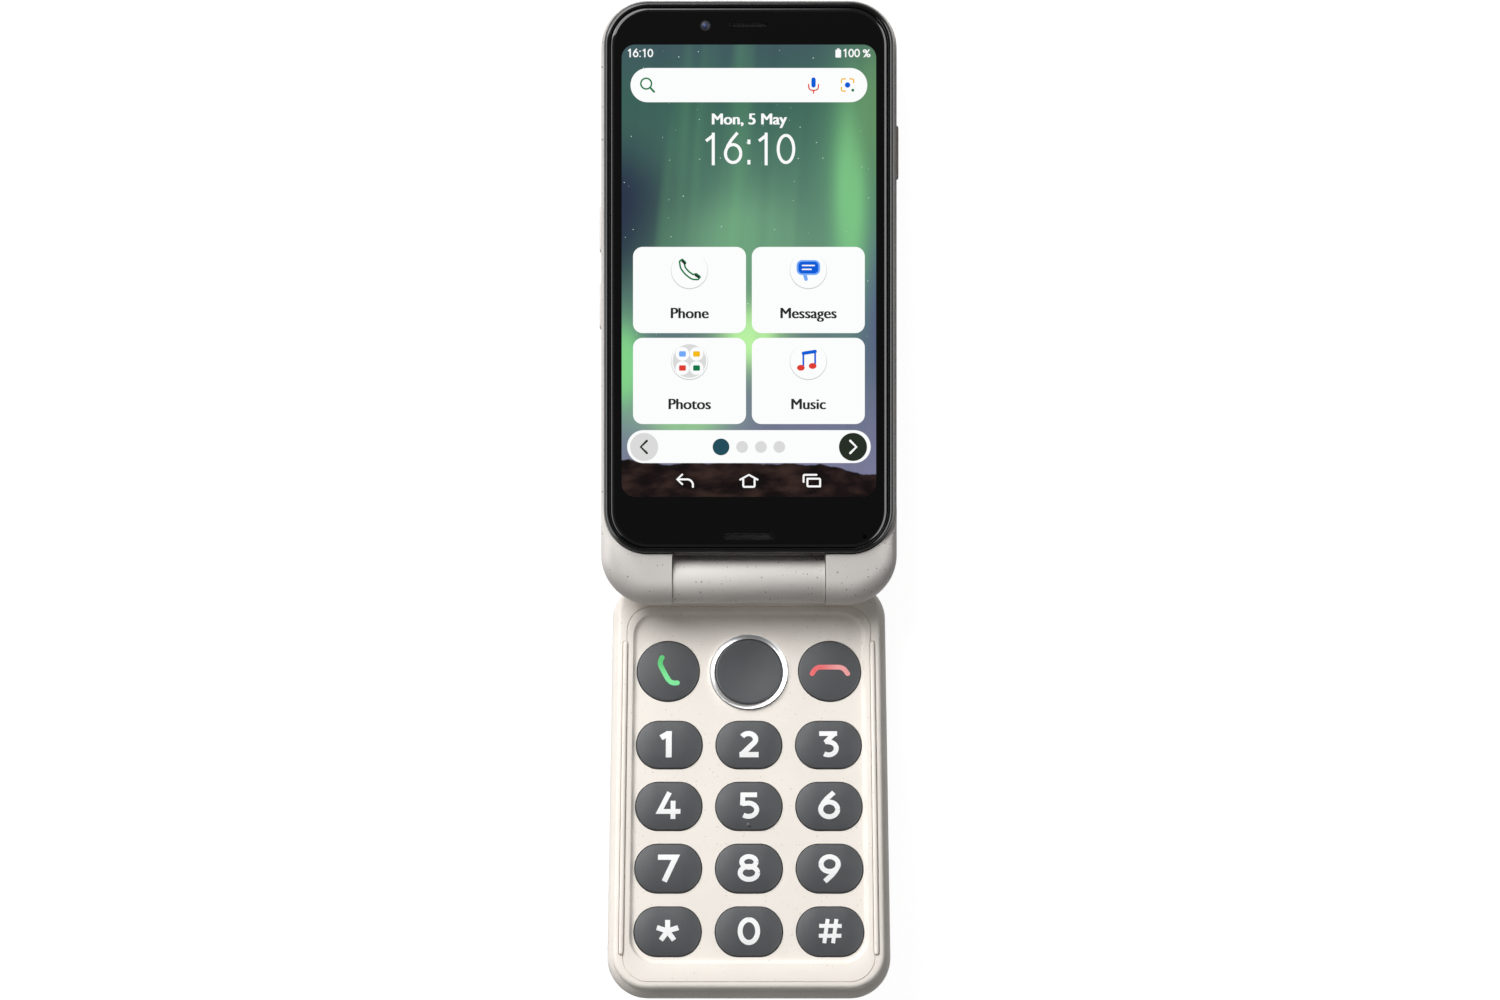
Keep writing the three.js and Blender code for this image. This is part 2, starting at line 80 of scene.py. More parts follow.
def srgb(red: int, green: int, blue: int) -> Colour:
    """Turns a display colour into a linear one.

    Args:
        red, green, blue: Channels from 0 to 255.

    Returns:
        The linear colour.
    """

    def channel(value: int) -> float:
        """Gives one linear channel."""
        part = value / 255
        return part / 12.92 if part <= 0.04045 else ((part + 0.055) / 1.055) ** 2.4

    return channel(red), channel(green), channel(blue)


# ------------------------------------------------------------------------------------------ the halves


class Half(Enum):
    """The two halves, by the CAD body and by the mount on its back."""

    SCREEN = ("screen_half", "screen_back")
    KEYPAD = ("keypad_half", "keypad_back")

    @property
    def body(self) -> str:
        """Gives the name of the half's body."""
        return self.value[0]

    @property
    def matrix(self) -> Matrix:
        """Gives the place of the half's own frame: from its millimetres to metres in the row frame.

        Returns:
            The matrix.
        """
        record = frame["record"]
        hinge = next(joint for joint in frame["joints"] if joint["name"] == "fold")
        back = next(mount for mount in record["mounts"] if mount["name"] == self.value[1])
        out = -Vector(back["axis"]).normalized()
        along = Vector((1, 0, 0))
        turn = Matrix((along, out.cross(along), out)).transposed().to_4x4()
        return Matrix.Translation(hinge["pos_m"]) @ turn @ Matrix.Scale(MM, 4)

    def box(self, node: str) -> tuple[Vector, Vector]:
        """Measures a CAD node in the half's own frame.

        Args:
            node: The node's name.

        Returns:
            The lowest and highest corners, in millimetres.
        """
        inverse = self.matrix.inverted()
        points = [inverse @ vertex.co for vertex in frame["nodes"][node].data.vertices]
        low = Vector(min(point[axis] for point in points) for axis in range(3))
        high = Vector(max(point[axis] for point in points) for axis in range(3))
        return low, high


# ---------------------------------------------------------------------------------------------- shaders

Input = Union["Value", bpy.types.NodeSocket, float, int, Colour, tuple]


class Value:
    """A socket of a shader, with arithmetic that adds Math nodes."""

    def __init__(self, shader: "Shader", socket: bpy.types.NodeSocket) -> None:
        """Keeps the socket and the shader that it is in."""
        self.shader = shader
        self.socket = socket

    def math(self, operation: str, *others: Input, turned: bool = False) -> "Value":
        """Adds a Math node on this value and others.

        Args:
            operation: The node's operation.
            others: The other values.
            turned: Whether this value comes last.

        Returns:
            The result.
        """
        values = (*others, self) if turned else (self, *others)
        return self.shader.value("ShaderNodeMath", {"operation": operation}, dict(enumerate(values)))

    __add__ = __radd__ = partialmethod(math, "ADD")
    __sub__ = partialmethod(math, "SUBTRACT")
    __rsub__ = partialmethod(math, "SUBTRACT", turned=True)
    __mul__ = __rmul__ = partialmethod(math, "MULTIPLY")
    __truediv__ = partialmethod(math, "DIVIDE")
    __rtruediv__ = partialmethod(math, "DIVIDE", turned=True)
    __pow__ = partialmethod(math, "POWER")
    __gt__ = partialmethod(math, "GREATER_THAN")

    def step(self, low: float, high: float) -> "Value":
        """Rises smoothly from 0 to 1.

        Args:
            low: The value that gives 0.
            high: The value that gives 1. It may be the lower one.

        Returns:
            The eased value.
        """
        settings = {"interpolation_type": "SMOOTHSTEP"}
        inputs = {"Value": self, "From Min": low, "From Max": high}
        return self.shader.value("ShaderNodeMapRange", settings, inputs)


class Shader:
    """A material's node tree, built from one method for every kind of node."""

    def __init__(self, name: str, tree: Optional[bpy.types.NodeTree] = None) -> None:
        """Starts a material, or a room's tree where one is given, that has only its output.

        Args:
            name: The material's name.
            tree: The room's tree, or None.
        """
        self.material = None if tree else bpy.data.materials.new(name)
        if self.material:
            self.material.use_nodes = True
        self.tree = tree or self.material.node_tree
        self.tree.nodes.clear()
        self.output = self.node("ShaderNodeOutputWorld" if tree else "ShaderNodeOutputMaterial")

    def node(self, kind: str, settings: Optional[dict] = None,
             inputs: Optional[dict] = None) -> bpy.types.Node:
        """Adds a node.

        Args:
            kind: The node's type.
            settings: Its properties. stops holds a ramp's places and colours.
            inputs: Values or links for its sockets, by name or number.

        Returns:
            The node.
        """
        node = self.tree.nodes.new(kind)
        for key, setting in (settings or {}).items():
            if key == "stops":
                self._set_stops(node.color_ramp, setting)
            else:
                setattr(node, key, setting)
        for key, given in (inputs or {}).items():
            socket = node.inputs[key]
            if isinstance(given, Value):
                self.tree.links.new(given.socket, socket)
            elif isinstance(given, bpy.types.NodeSocket):
                self.tree.links.new(given, socket)
            elif isinstance(given, tuple) and socket.type == "RGBA":
                socket.default_value = (*given[:3], 1)
            else:
                socket.default_value = given
        return node

    @staticmethod
    def _set_stops(ramp: bpy.types.ColorRamp, stops: Sequence[tuple[float, Colour]]) -> None:
        """Sets a ramp's stops.

        Args:
            ramp: The ramp's node.
            stops: Each stop's place and colour.
        """
        while len(ramp.elements) < len(stops):
            ramp.elements.new(0.5)
        for element, (place, colour) in zip(ramp.elements, stops):
            element.position = place
            element.color = (*colour, 1)

    def value(self, kind: str, settings: Optional[dict] = None, inputs: Optional[dict] = None,
              output: Union[int, str] = 0) -> Value:
        """Adds a node and gives one of its outputs, as node() does."""
        return Value(self, self.node(kind, settings, inputs).outputs[output])

    def place(self, half: Optional[Half] = None) -> Value:
        """Gives the place on a piece, in millimetres.

        Args:
            half: The half whose own frame it is in, or None for the row frame.

        Returns:
            The place, as a vector.
        """
        point = self.node("ShaderNodeTexCoord").outputs["Object"]
        inverse = half.matrix.inverted() if half else Matrix.Scale(1 / MM, 4)
        location, rotation, scale = inverse.decompose()
        inputs = {"Vector": point, "Location": location, "Rotation": rotation.to_euler(), "Scale": scale}
        return self.value("ShaderNodeMapping", {"vector_type": "POINT"}, inputs)

    def split(self, vector: Value) -> tuple[Value, Value, Value]:
        """Takes a vector apart."""
        node = self.node("ShaderNodeSeparateXYZ", inputs={"Vector": vector})
        return tuple(Value(self, node.outputs[axis]) for axis in range(3))

    def noise(self, place: Value, scale: float, detail: float = 3, stretch: Colour = (1, 1, 1)) -> Value:
        """Gives noise from 0 to 1.

        Args:
            place: Where on the piece, in millimetres.
            scale: Waves in a millimetre.
            detail: How many finer layers.
            stretch: A factor for each axis.

        Returns:
            The noise.
        """
        if stretch != (1, 1, 1):
            place = self.value("ShaderNodeVectorMath", {"operation": "MULTIPLY"}, {0: place, 1: stretch})
        return self.value("ShaderNodeTexNoise", inputs={"Vector": place, "Scale": scale, "Detail": detail})

    def specks(self, place: Value, spacing: float, radius: float, share: float) -> Value:
        """Gives scattered round specks.

        Args:
            place: Where on the piece, in millimetres.
            spacing: The mean distance between cells.
            radius: The largest speck's radius.
            share: The share of cells with a speck.

        Returns:
            1 in a speck and 0 outside.
        """
        cells = self.node("ShaderNodeTexVoronoi", inputs={"Vector": place, "Scale": 1 / spacing})
        distance = Value(self, cells.outputs["Distance"]) * spacing
        lot = self.split(Value(self, cells.outputs["Color"]))
        reach = radius * (0.35 + 0.65 * lot[1])
        return (distance / reach).step(1.0, 0.7) * (lot[0] > 1 - share)

    def mix(self, amount: Input, first: Input, second: Input) -> Value:
        """Mixes two colours.

        Args:
            amount: 0 for the first, 1 for the second.
            first, second: The colours.

        Returns:
            The mixed colour.
        """
        # The Mix node's colour sockets are 6 and 7, and its colour result is 2.
        return self.value("ShaderNodeMix", {"data_type": "RGBA"}, {0: amount, 6: first, 7: second}, 2)

    def bump(self, height: Value, depth: float) -> Value:
        """Turns a height from 0 to 1 into a normal, for a relief of this depth in millimetres."""
        inputs = {"Height": height, "Distance": depth * MM, "Strength": 1.0}
        return self.value("ShaderNodeBump", inputs=inputs)

    def surface(self, **sockets: Input) -> bpy.types.Material:
        """Ends the shader in one Principled surface.

        Args:
            sockets: The surface's inputs, with _ for a space.

        Returns:
            The material.
        """
        inputs = {key.replace("_", " "): given for key, given in sockets.items()}
        surface = self.node("ShaderNodeBsdfPrincipled", inputs=inputs)
        self.tree.links.new(surface.outputs[0], self.output.inputs["Surface"])
        return self.material

    def lit(self, colour: Input, glow: float) -> bpy.types.Material:
        """Ends the shader in a black surface under glass that gives off a colour.

        Args:
            colour: The colour.
            glow: How strongly it shines.

        Returns:
            The material.
        """
        return self.surface(Base_Color=(0.0, 0.0, 0.0), Roughness=0.08, Coat_Weight=1.0, Coat_Roughness=0.03,
                            Emission_Color=colour, Emission_Strength=glow)


# --------------------------------------------------------------------------------------------- finishes


@dataclass(frozen=True)
class Stone:
    """Speckled stone-coloured moulding with a fine matt grain."""

    name: str
    colour: Colour
    half: Half
    speck: Colour = srgb(92, 84, 78)
    shine: float = 0.5
    speckled: float = 0.2

    def build(self) -> bpy.types.Material:
        """Makes the material.

        Returns:
            The material.
        """
        shader = Shader(self.name)
        place = shader.place(self.half)
        cloud = shader.noise(place, 0.09)
        grain = shader.noise(place, 4.0, 2)
        darker = tuple(channel * 0.965 for channel in self.colour)
        colour = shader.mix(cloud.step(0.35, 0.65), self.colour, darker)
        colour = shader.mix(grain.step(0.3, 0.8) * 0.10, colour, (1.0, 0.99, 0.97))
        dark = shader.specks(place, 0.95, 0.24, 0.42) * self.speckled
        fine = shader.specks(place, 0.5, 0.1, 0.6) * (0.55 * self.speckled)
        pale = shader.specks(place, 0.9, 0.13, 0.4) * min(0.6, self.speckled)
        colour = shader.mix(pale, colour, (0.93, 0.91, 0.87))
        colour = shader.mix(fine, colour, self.speck)
        colour = shader.mix(dark, colour, self.speck)
        roughness = self.shine + 0.12 * (grain - 0.5) + 0.1 * (cloud - 0.5)
        return shader.surface(Base_Color=colour, Roughness=roughness, Normal=shader.bump(grain, 0.012),
                              Coat_Weight=0.0, Specular_IOR_Level=0.22)


@dataclass(frozen=True)
class Gloss:
    """Polished black moulding or glass, with the faintest smears and waviness."""

    name: str
    colour: Colour
    roughness: float = 0.06
    coat: float = 1.0
    wave: float = 0.002

    def build(self) -> bpy.types.Material:
        """Makes the material.

        Returns:
            The material.
        """
        shader = Shader(self.name)
        place = shader.place()
        smear = shader.noise(place, 0.12, 4, (1, 0.4, 1))
        dust = shader.specks(place, 3.7, 0.05, 0.3)
        colour = shader.mix(dust * 0.15, self.colour, (0.25, 0.25, 0.25))
        roughness = self.roughness + 0.05 * smear.step(0.45, 0.75) + 0.2 * dust
        relief = shader.bump(shader.noise(place, 0.5, 1), self.wave)
        return shader.surface(Base_Color=colour, Roughness=roughness, Coat_Weight=self.coat,
                              Coat_Roughness=0.03, IOR=1.5, Normal=relief)


@dataclass(frozen=True)
class KeyPlastic:
    """Soft-touch key moulding: a fine matt grain, a little polished in the middle by fingers."""

    name: str
    colour: Colour
    roughness: float = 0.42

    def build(self) -> bpy.types.Material:
        """Makes the material.

        Returns:
            The material.
        """
        shader = Shader(self.name)
        place = shader.place()
        grain = shader.noise(place, 9.0, 2)
        cloud = shader.noise(place, 0.35)
        lighter = tuple(channel * 1.1 for channel in self.colour)
        colour = shader.mix(cloud.step(0.3, 0.7) * 0.5, self.colour, lighter)
        colour = shader.mix(grain.step(0.5, 0.9) * 0.12, colour, (0.3, 0.3, 0.3))
        roughness = self.roughness + 0.14 * (grain - 0.5) - 0.06 * cloud.step(0.4, 0.7)
        return shader.surface(Base_Color=colour, Roughness=roughness, Normal=shader.bump(grain, 0.008),
                              Specular_IOR_Level=0.4)


@dataclass(frozen=True)
class Metal:
    """Metal with fine lines from turning, drawing or stamping."""

    name: str
    colour: Colour
    roughness: float = 0.25
    lines: float = 0.08
    stretch: Colour = (1, 12, 12)

    def build(self) -> bpy.types.Material:
        """Makes the material.

        Returns:
            The material.
        """
        shader = Shader(self.name)
        place = shader.place()
        line = shader.noise(place, 1.2, 3, self.stretch)
        cloud = shader.noise(place, 0.3)
        darker = tuple(channel * 0.86 for channel in self.colour)
        colour = shader.mix(line.step(0.3, 0.7) * 0.6, self.colour, darker)
        roughness = self.roughness + self.lines * (line - 0.5) + 0.05 * (cloud - 0.5)
        return shader.surface(Base_Color=colour, Roughness=roughness, Metallic=1.0,
                              Normal=shader.bump(line, 0.002))


@dataclass(frozen=True)
class Print:
    """Printed ink, or lit picture elements, in one colour with a faint grain."""

    name: str
    colour: Colour
    glow: float = 0.0

    def build(self) -> bpy.types.Material:
        """Makes the material.

        Returns:
            The material.
        """
        shader = Shader(self.name)
        grain = shader.noise(shader.place(), 7.0, 2)
        softer = tuple(channel * 0.975 for channel in self.colour)
        colour = shader.mix(grain.step(0.35, 0.75) * 0.5, self.colour, softer)
        if self.glow:
            return shader.lit(colour, self.glow)
        return shader.surface(Base_Color=colour, Roughness=0.35 + 0.1 * grain)


@dataclass(frozen=True)
class Board:
    """Solder mask with pale tracks and pads."""

    name: str
    colour: Colour

    def build(self) -> bpy.types.Material:
        """Makes the material.

        Returns:
            The material.
        """
        shader = Shader(self.name)
        place = shader.place()
        track = shader.noise(place, 0.9, 1, (1, 6, 6)).step(0.55, 0.6)
        pad = shader.specks(place, 2.2, 0.5, 0.6)
        lighter = tuple(channel * 1.9 for channel in self.colour)
        colour = shader.mix(track * 0.6, self.colour, lighter)
        colour = shader.mix(pad, colour, (0.55, 0.42, 0.2))
        return shader.surface(Base_Color=colour, Roughness=0.35 - 0.1 * pad, Metallic=pad,
                              Normal=shader.bump(track, 0.02))


@dataclass(frozen=True)
class Grille:
    """Woven wire mesh over a sound opening."""

    name: str
    half: Half
    pitch: float = 0.22

    def build(self) -> bpy.types.Material:
        """Makes the material.

        Returns:
            The material.
        """
        shader = Shader(self.name)
        x, y, _ = shader.split(shader.place(self.half))
        warp, weft = ((way * (2 * math.pi / self.pitch)).math("SINE") for way in (x, y))
        hole = (warp * weft).step(0.1, 0.6)
        # The holes are painted near black: painted shade of the dark space behind the mesh.
        colour = shader.mix(hole, srgb(24, 24, 26), srgb(3, 3, 4))
        return shader.surface(Base_Color=colour, Roughness=0.4 + 0.3 * hole, Metallic=0.4,
                              Normal=shader.bump(1 - hole, 0.05))


@dataclass(frozen=True)
class Aurora:
    """The lit background picture: northern lights over dark hills, with a few stars."""

    name: str
    half_width: float
    low: float
    height: float

    def build(self) -> bpy.types.Material:
        """Makes the material.

        Returns:
            The material.
        """
        shader = Shader(self.name)
        place = shader.place(Half.SCREEN)
        x, y, _ = shader.split(place)
        across = x / self.half_width
        up = (y - self.low) / self.height
        colour = self._sky(shader, place, across, up)
        colour = self._hills(shader, place, across, up, colour)
        return shader.lit(colour, 1.0)

    @staticmethod
    def _glow(across: Value, up: Value, centre: Point, size: Point) -> Value:
        """Gives a soft round patch: 1 at its centre, falling off over its size."""
        far = ((across - centre[0]) / size[0]) ** 2.0 + ((up - centre[1]) / size[1]) ** 2.0
        return 1 / (1 + far * far)

    def _sky(self, shader: Shader, place: Value, across: Value, up: Value) -> Value:
        """Paints the sky with its glows, streaks and stars.

        Args:
            shader: The picture's shader.
            place: The place on the screen.
            across, up: Its two parts.

        Returns:
            The sky's colour.
        """
        stops = [(0.0, srgb(128, 126, 158)), (0.16, srgb(116, 118, 148)), (0.32, srgb(96, 112, 128)),
                 (0.52, srgb(92, 130, 116)), (0.72, srgb(80, 124, 106)), (0.88, srgb(62, 104, 92)),
                 (1.0, srgb(66, 92, 98))]
        ramp = shader.node("ShaderNodeValToRGB", {"stops": stops}, {"Fac": up})
        colour = Value(shader, ramp.outputs["Color"])
        glows = [
            ((-1.2, 0.62), (0.75, 0.17), srgb(34, 34, 70)), ((1.15, 0.42), (0.3, 0.16), srgb(84, 84, 132)),
            ((0.8, 0.66), (0.13, 0.2), srgb(128, 204, 138)),
            ((1.05, 0.86), (0.22, 0.15), srgb(104, 152, 106)),
            ((0.02, 0.36), (0.22, 0.07), srgb(196, 255, 170)),
            ((-0.98, 0.29), (0.14, 0.09), srgb(132, 214, 140)),
            ((0.0, 0.55), (0.5, 0.12), srgb(112, 164, 128)),
            ((-0.5, 0.17), (0.3, 0.04), srgb(150, 200, 150)),
        ]
        for centre, size, tint in glows:
            colour = shader.mix(self._glow(across, up, centre, size), colour, tint)
        lean = shader.node("ShaderNodeCombineXYZ", inputs={0: across - 0.25 * up, 1: up * 0.18, 2: 0.0})
        streak = shader.noise(Value(shader, lean.outputs[0]), 3.0, 2)
        colour = shader.mix(streak.step(0.52, 0.75) * up.step(0.3, 0.6) * 0.2, colour, srgb(128, 205, 140))
        colour = shader.mix(streak.step(0.5, 0.25) * 0.22, colour, srgb(44, 56, 78))
        star = shader.specks(place, 1.7, 0.16, 0.75) * up.step(0.3, 0.5)
        return shader.mix(star * 0.95, colour, srgb(215, 245, 235))

    def _hills(self, shader: Shader, place: Value, across: Value, up: Value, sky: Value) -> Value:
        """Paints the dark hills along the bottom.

        Args:
            shader: The picture's shader.
            place: The place on the screen.
            across, up: Its two parts.
            sky: The sky's colour.

        Returns:
            The colour of both.
        """
        ridge = shader.noise(place, 0.09, 4, (1, 0.0, 0))
        crest = 0.075 + 0.05 * (ridge - 0.5) - 0.022 * across.step(0.2, 1.0)
        rock = shader.noise(place, 0.16, 4, (1, 2.2, 1))
        ground = shader.mix(rock.step(0.35, 0.75), srgb(20, 13, 14), srgb(58, 42, 38))
        return shader.mix((crest - up).step(-0.002, 0.002), sky, ground)


# --------------------------------------------------------------------------------------------- outlines


@dataclass(frozen=True)
class Outline:
    """An upright rectangle with round corners, in a half's X and Y."""

    half_width: float
    low: float
    high: float
    corner: float
    high_corner: Optional[float] = None
    x: float = 0.0

    def grown(self, margin: float) -> "Outline":
        """Gives the outline that runs this far outside it.

        Args:
            margin: The distance, in millimetres.

        Returns:
            The outline.
        """
        top = self.corner if self.high_corner is None else self.high_corner
        return replace(self, half_width=self.half_width + margin, low=self.low - margin,
                       high=self.high + margin, corner=max(self.corner + margin, 0.02),
                       high_corner=max(top + margin, 0.02))

    def points(self, segments: int) -> list[Vector]:
        """Walks round the outline.

        Args:
            segments: Steps in each corner.

        Returns:
            The points, anticlockwise from the low right corner.
        """
        top = self.corner if self.high_corner is None else self.high_corner
        corners = [(1, self.low, self.corner, -QUARTER), (1, self.high, top, 0.0),
                   (-1, self.high, top, QUARTER), (-1, self.low, self.corner, 2 * QUARTER)]
        points = []
        for side, edge, radius, start in corners:
            inward = 1 if edge == self.low else -1
            centre = Vector((self.x + side * (self.half_width - radius), edge + inward * radius))
            for step in range(segments + 1):
                angle = start + QUARTER * step / segments
                points.append(centre + radius * Vector((math.cos(angle), math.sin(angle))))
        return points


@dataclass(frozen=True)
class Oval:
    """A key's outline: straight above and below, with elliptical ends. A disc has no straight part."""

    x: float
    y: float
    half_width: float
    half_height: float
    reach: float

    def grown(self, margin: float) -> "Oval":
        """Gives the outline that runs this far outside it."""
        return replace(self, half_width=self.half_width + margin, half_height=self.half_height + margin,
                       reach=self.reach + margin)

    def points(self, segments: int) -> list[Vector]:
        """Walks round the outline, as Outline.points does.

        Args:
            segments: The segments round each corner.

        Returns:
            The points.
        """
        straight = self.half_width - self.reach
        points = []
        for side, start in ((1, -QUARTER), (-1, QUARTER)):
            for step in range(2 * segments + 1):
                angle = start + math.pi * step / (2 * segments)
                points.append(Vector((self.x + side * straight + self.reach * math.cos(angle),
                                      self.y + self.half_height * math.sin(angle))))
        return points


Shape = Union[Outline, Oval]


def disc(x: float, y: float, radius: float) -> Oval:
    """Gives a round outline."""
    return Oval(x, y, radius, radius, radius)


# ----------------------------------------------------------------------------------------------- solids


class Solid:
    """A closed piece that is being made, in one half's frame, in millimetres."""

    def __init__(self) -> None:
        """Starts with nothing."""
        self.bm = bmesh.new()

    def stack(self, rings: Sequence[tuple[Shape, float]], segments: int = 8,
              hollow: bool = False) -> "Solid":
        """Adds a skin through rings.

        Args:
            rings: Each ring's outline and height.
            segments: Steps in each quarter turn.
            hollow: Whether the last ring joins the first, as on a frame, in place of two lids.

        Returns:
            This solid.
        """
        (shape, height), *others = rings
        bm = self.bm
        first = [bm.verts.new((*point, height)) for point in shape.points(segments)]
        edges = [bm.edges.new((a, b)) for a, b in zip(first, first[1:] + first[:1])]
        start_edges = edges
        ring = first
        for shape, height in others:
            grown = bmesh.ops.extrude_edge_only(bm, edges=edges)["geom"]
            fresh = {item for item in grown if isinstance(item, bmesh.types.BMVert)}
            follow = [next(edge.other_vert(vert) for edge in vert.link_edges
                           if edge.other_vert(vert) in fresh) for vert in ring]
            for vert, point in zip(follow, shape.points(segments)):
                vert.co = (*point, height)
            edges = [bm.edges.get((a, b)) for a, b in zip(follow, follow[1:] + follow[:1])]
            ring = follow
        if hollow:
            bmesh.ops.bridge_loops(bm, edges=start_edges + edges)
        else:
            bm.faces.new(list(reversed(first)))
            bm.faces.new(ring)
        return self

    def spun(self, profile: Sequence[Point], centre: Point, steps: int = 96) -> "Solid":
        """Adds a turned shape.

        Args:
            profile: Radii and heights, closing on themselves or starting and ending on the axis.
            centre: The axis's X and Y.
            steps: Steps in a turn.

        Returns:
            This solid.
        """
        bm = self.bm
        verts = [bm.verts.new((centre[0] + radius, centre[1], height)) for radius, height in profile]
        ends = zip(verts, verts[1:] + verts[:1]) if profile[0][0] > 0 else zip(verts, verts[1:])
        edges = [bm.edges.new(pair) for pair in ends]
        bmesh.ops.spin(bm, geom=verts + edges, cent=(*centre, 0), axis=(0, 0, 1), dvec=(0, 0, 0),
                       angle=2 * math.pi, steps=steps, use_merge=True, use_duplicate=False)
        bmesh.ops.remove_doubles(bm, verts=bm.verts[:], dist=1e-4)
        return self

    def block(self, low: Sequence[float], high: Sequence[float], edge: float = 0.0) -> "Solid":
        """Adds a box between two corners.

        Args:
            low, high: The corners.
            edge: The rounding of its edges.

        Returns:
            This solid.
        """
        size = Vector(high) - Vector(low)
        centre = (Vector(high) + Vector(low)) / 2
        place = Matrix.Translation(centre) @ Matrix.Diagonal((*size, 1))
        made = bmesh.ops.create_cube(self.bm, size=1, matrix=place)
        if edge:
            edges = {item for vert in made["verts"] for item in vert.link_edges}
            bmesh.ops.bevel(self.bm, geom=list(edges), offset=edge, segments=3, profile=0.5, affect="EDGES",
                            material=-1)
        return self

    def turned(self, matrix: Matrix) -> "Solid":
        """Moves or turns all of it."""
        bmesh.ops.transform(self.bm, matrix=matrix, verts=self.bm.verts[:])
        return self

    def closed(self) -> "Solid":
        """Points its faces outwards.

        Returns:
            The solid itself.
        """
        bmesh.ops.remove_doubles(self.bm, verts=self.bm.verts[:], dist=1e-4)
        bmesh.ops.recalc_face_normals(self.bm, faces=self.bm.faces[:])
        return self

    def mesh(self) -> bpy.types.Mesh:
        """Gives the solid as a mesh and lets go of its working copy.

        Returns:
            The mesh.
        """
        self.closed()
        mesh = bpy.data.meshes.new("solid")
        self.bm.to_mesh(mesh)
        self.bm.free()
        return mesh

    def cut(self, *tools: "Solid") -> "Solid":
        """Cuts other solids out of it.

        Args:
            tools: The cutting solids. They may overlap each other.

        Returns:
            The solid that is left.
        """
        body = bpy.data.objects.new("body", self.mesh())
        bpy.context.scene.collection.objects.link(body)
        cutters = []
        for tool in tools:
            cutter = bpy.data.objects.new("cutter", tool.mesh())
            bpy.context.scene.collection.objects.link(cutter)
            cutters.append(cutter)
            modifier = body.modifiers.new("cut", "BOOLEAN")
            modifier.operation = "DIFFERENCE"
            modifier.solver = "EXACT"
            modifier.object = cutter
        view = bpy.context.evaluated_depsgraph_get()
        result = Solid()
        result.bm.from_mesh(body.evaluated_get(view).to_mesh())
        for item in [body, *cutters]:
            mesh = item.data
            bpy.data.objects.remove(item)
            bpy.data.meshes.remove(mesh)
        bmesh.ops.dissolve_degenerate(result.bm, edges=result.bm.edges[:], dist=1e-4)
        return result

    def surface(self) -> BVHTree:
        """Gives a tree for finding heights on the solid."""
        return BVHTree.FromBMesh(self.bm)


def extruded(points: Sequence[Point], start: float, end: float) -> Solid:
    """Makes a solid with a Y-Z profile.

    Args:
        points: The profile's corners, as Y and Z.
        start, end: Its ends along X.

    Returns:
        The solid.
    """
    solid = Solid()
    verts = [solid.bm.verts.new((start, y, z)) for y, z in points]
    face = solid.bm.faces.new(verts)
    grown = bmesh.ops.extrude_face_region(solid.bm, geom=[face])["geom"]
    moved = [item for item in grown if isinstance(item, bmesh.types.BMVert)]
    bmesh.ops.translate(solid.bm, vec=(end - start, 0, 0), verts=moved)
    return solid


def rod(radius: float, start: float, end: float, edge: float = 0.12, steps: int = 96) -> Solid:
    """Makes a rod along the hinge axis, with its end edges rounded.

    Args:
        radius: The rod's radius.
        start, end: Where it starts and ends along X.
        edge: The radius of its end edges.
        steps: The steps round each.

    Returns:
        The rod.
    """
    solid = Solid()
    flat = radius - edge
    profile = [(0, start), (flat, start), (radius, start + edge), (radius, end - edge), (flat, end),
               (0, end)]
    return solid.spun(profile, (0, 0), steps).turned(Matrix.Rotation(QUARTER, 4, "Y"))


def rounding(shape: Shape, high: float, across: float, down: float, steps: int) -> list[tuple[Shape, float]]:
    """Gives the rings of a rounded upper edge, from the side to the top.

    Args:
        shape: The outline at the side.
        high: The height of the top.
        across, down: How far the edge reaches inwards and down.
        steps: Steps in the edge.

    Returns:
        Each ring's outline and height.
    """
    angles = [QUARTER * step / steps for step in range(steps + 1)]
    return [(shape.grown(across * (math.cos(angle) - 1)), high - down * (1 - math.sin(angle)))
            for angle in angles]


def slab(shape: Shape, low: float, high: float, edge: float = 0.0, segments: int = 8,
         steps: int = 3) -> Solid:
    """Makes a flat piece whose upper edge is rounded.

    Args:
        shape: The outline.
        low, high: Its heights.
        edge: The upper edge's radius.
        segments: Steps in each quarter of the outline.
        steps: Steps in the edge.

    Returns:
        The solid.
    """
    upper = rounding(shape, high, edge, edge, steps) if edge else [(shape, high)]
    return Solid().stack([(shape, low), *upper], segments)


# ----------------------------------------------------------------------------------------------- pieces


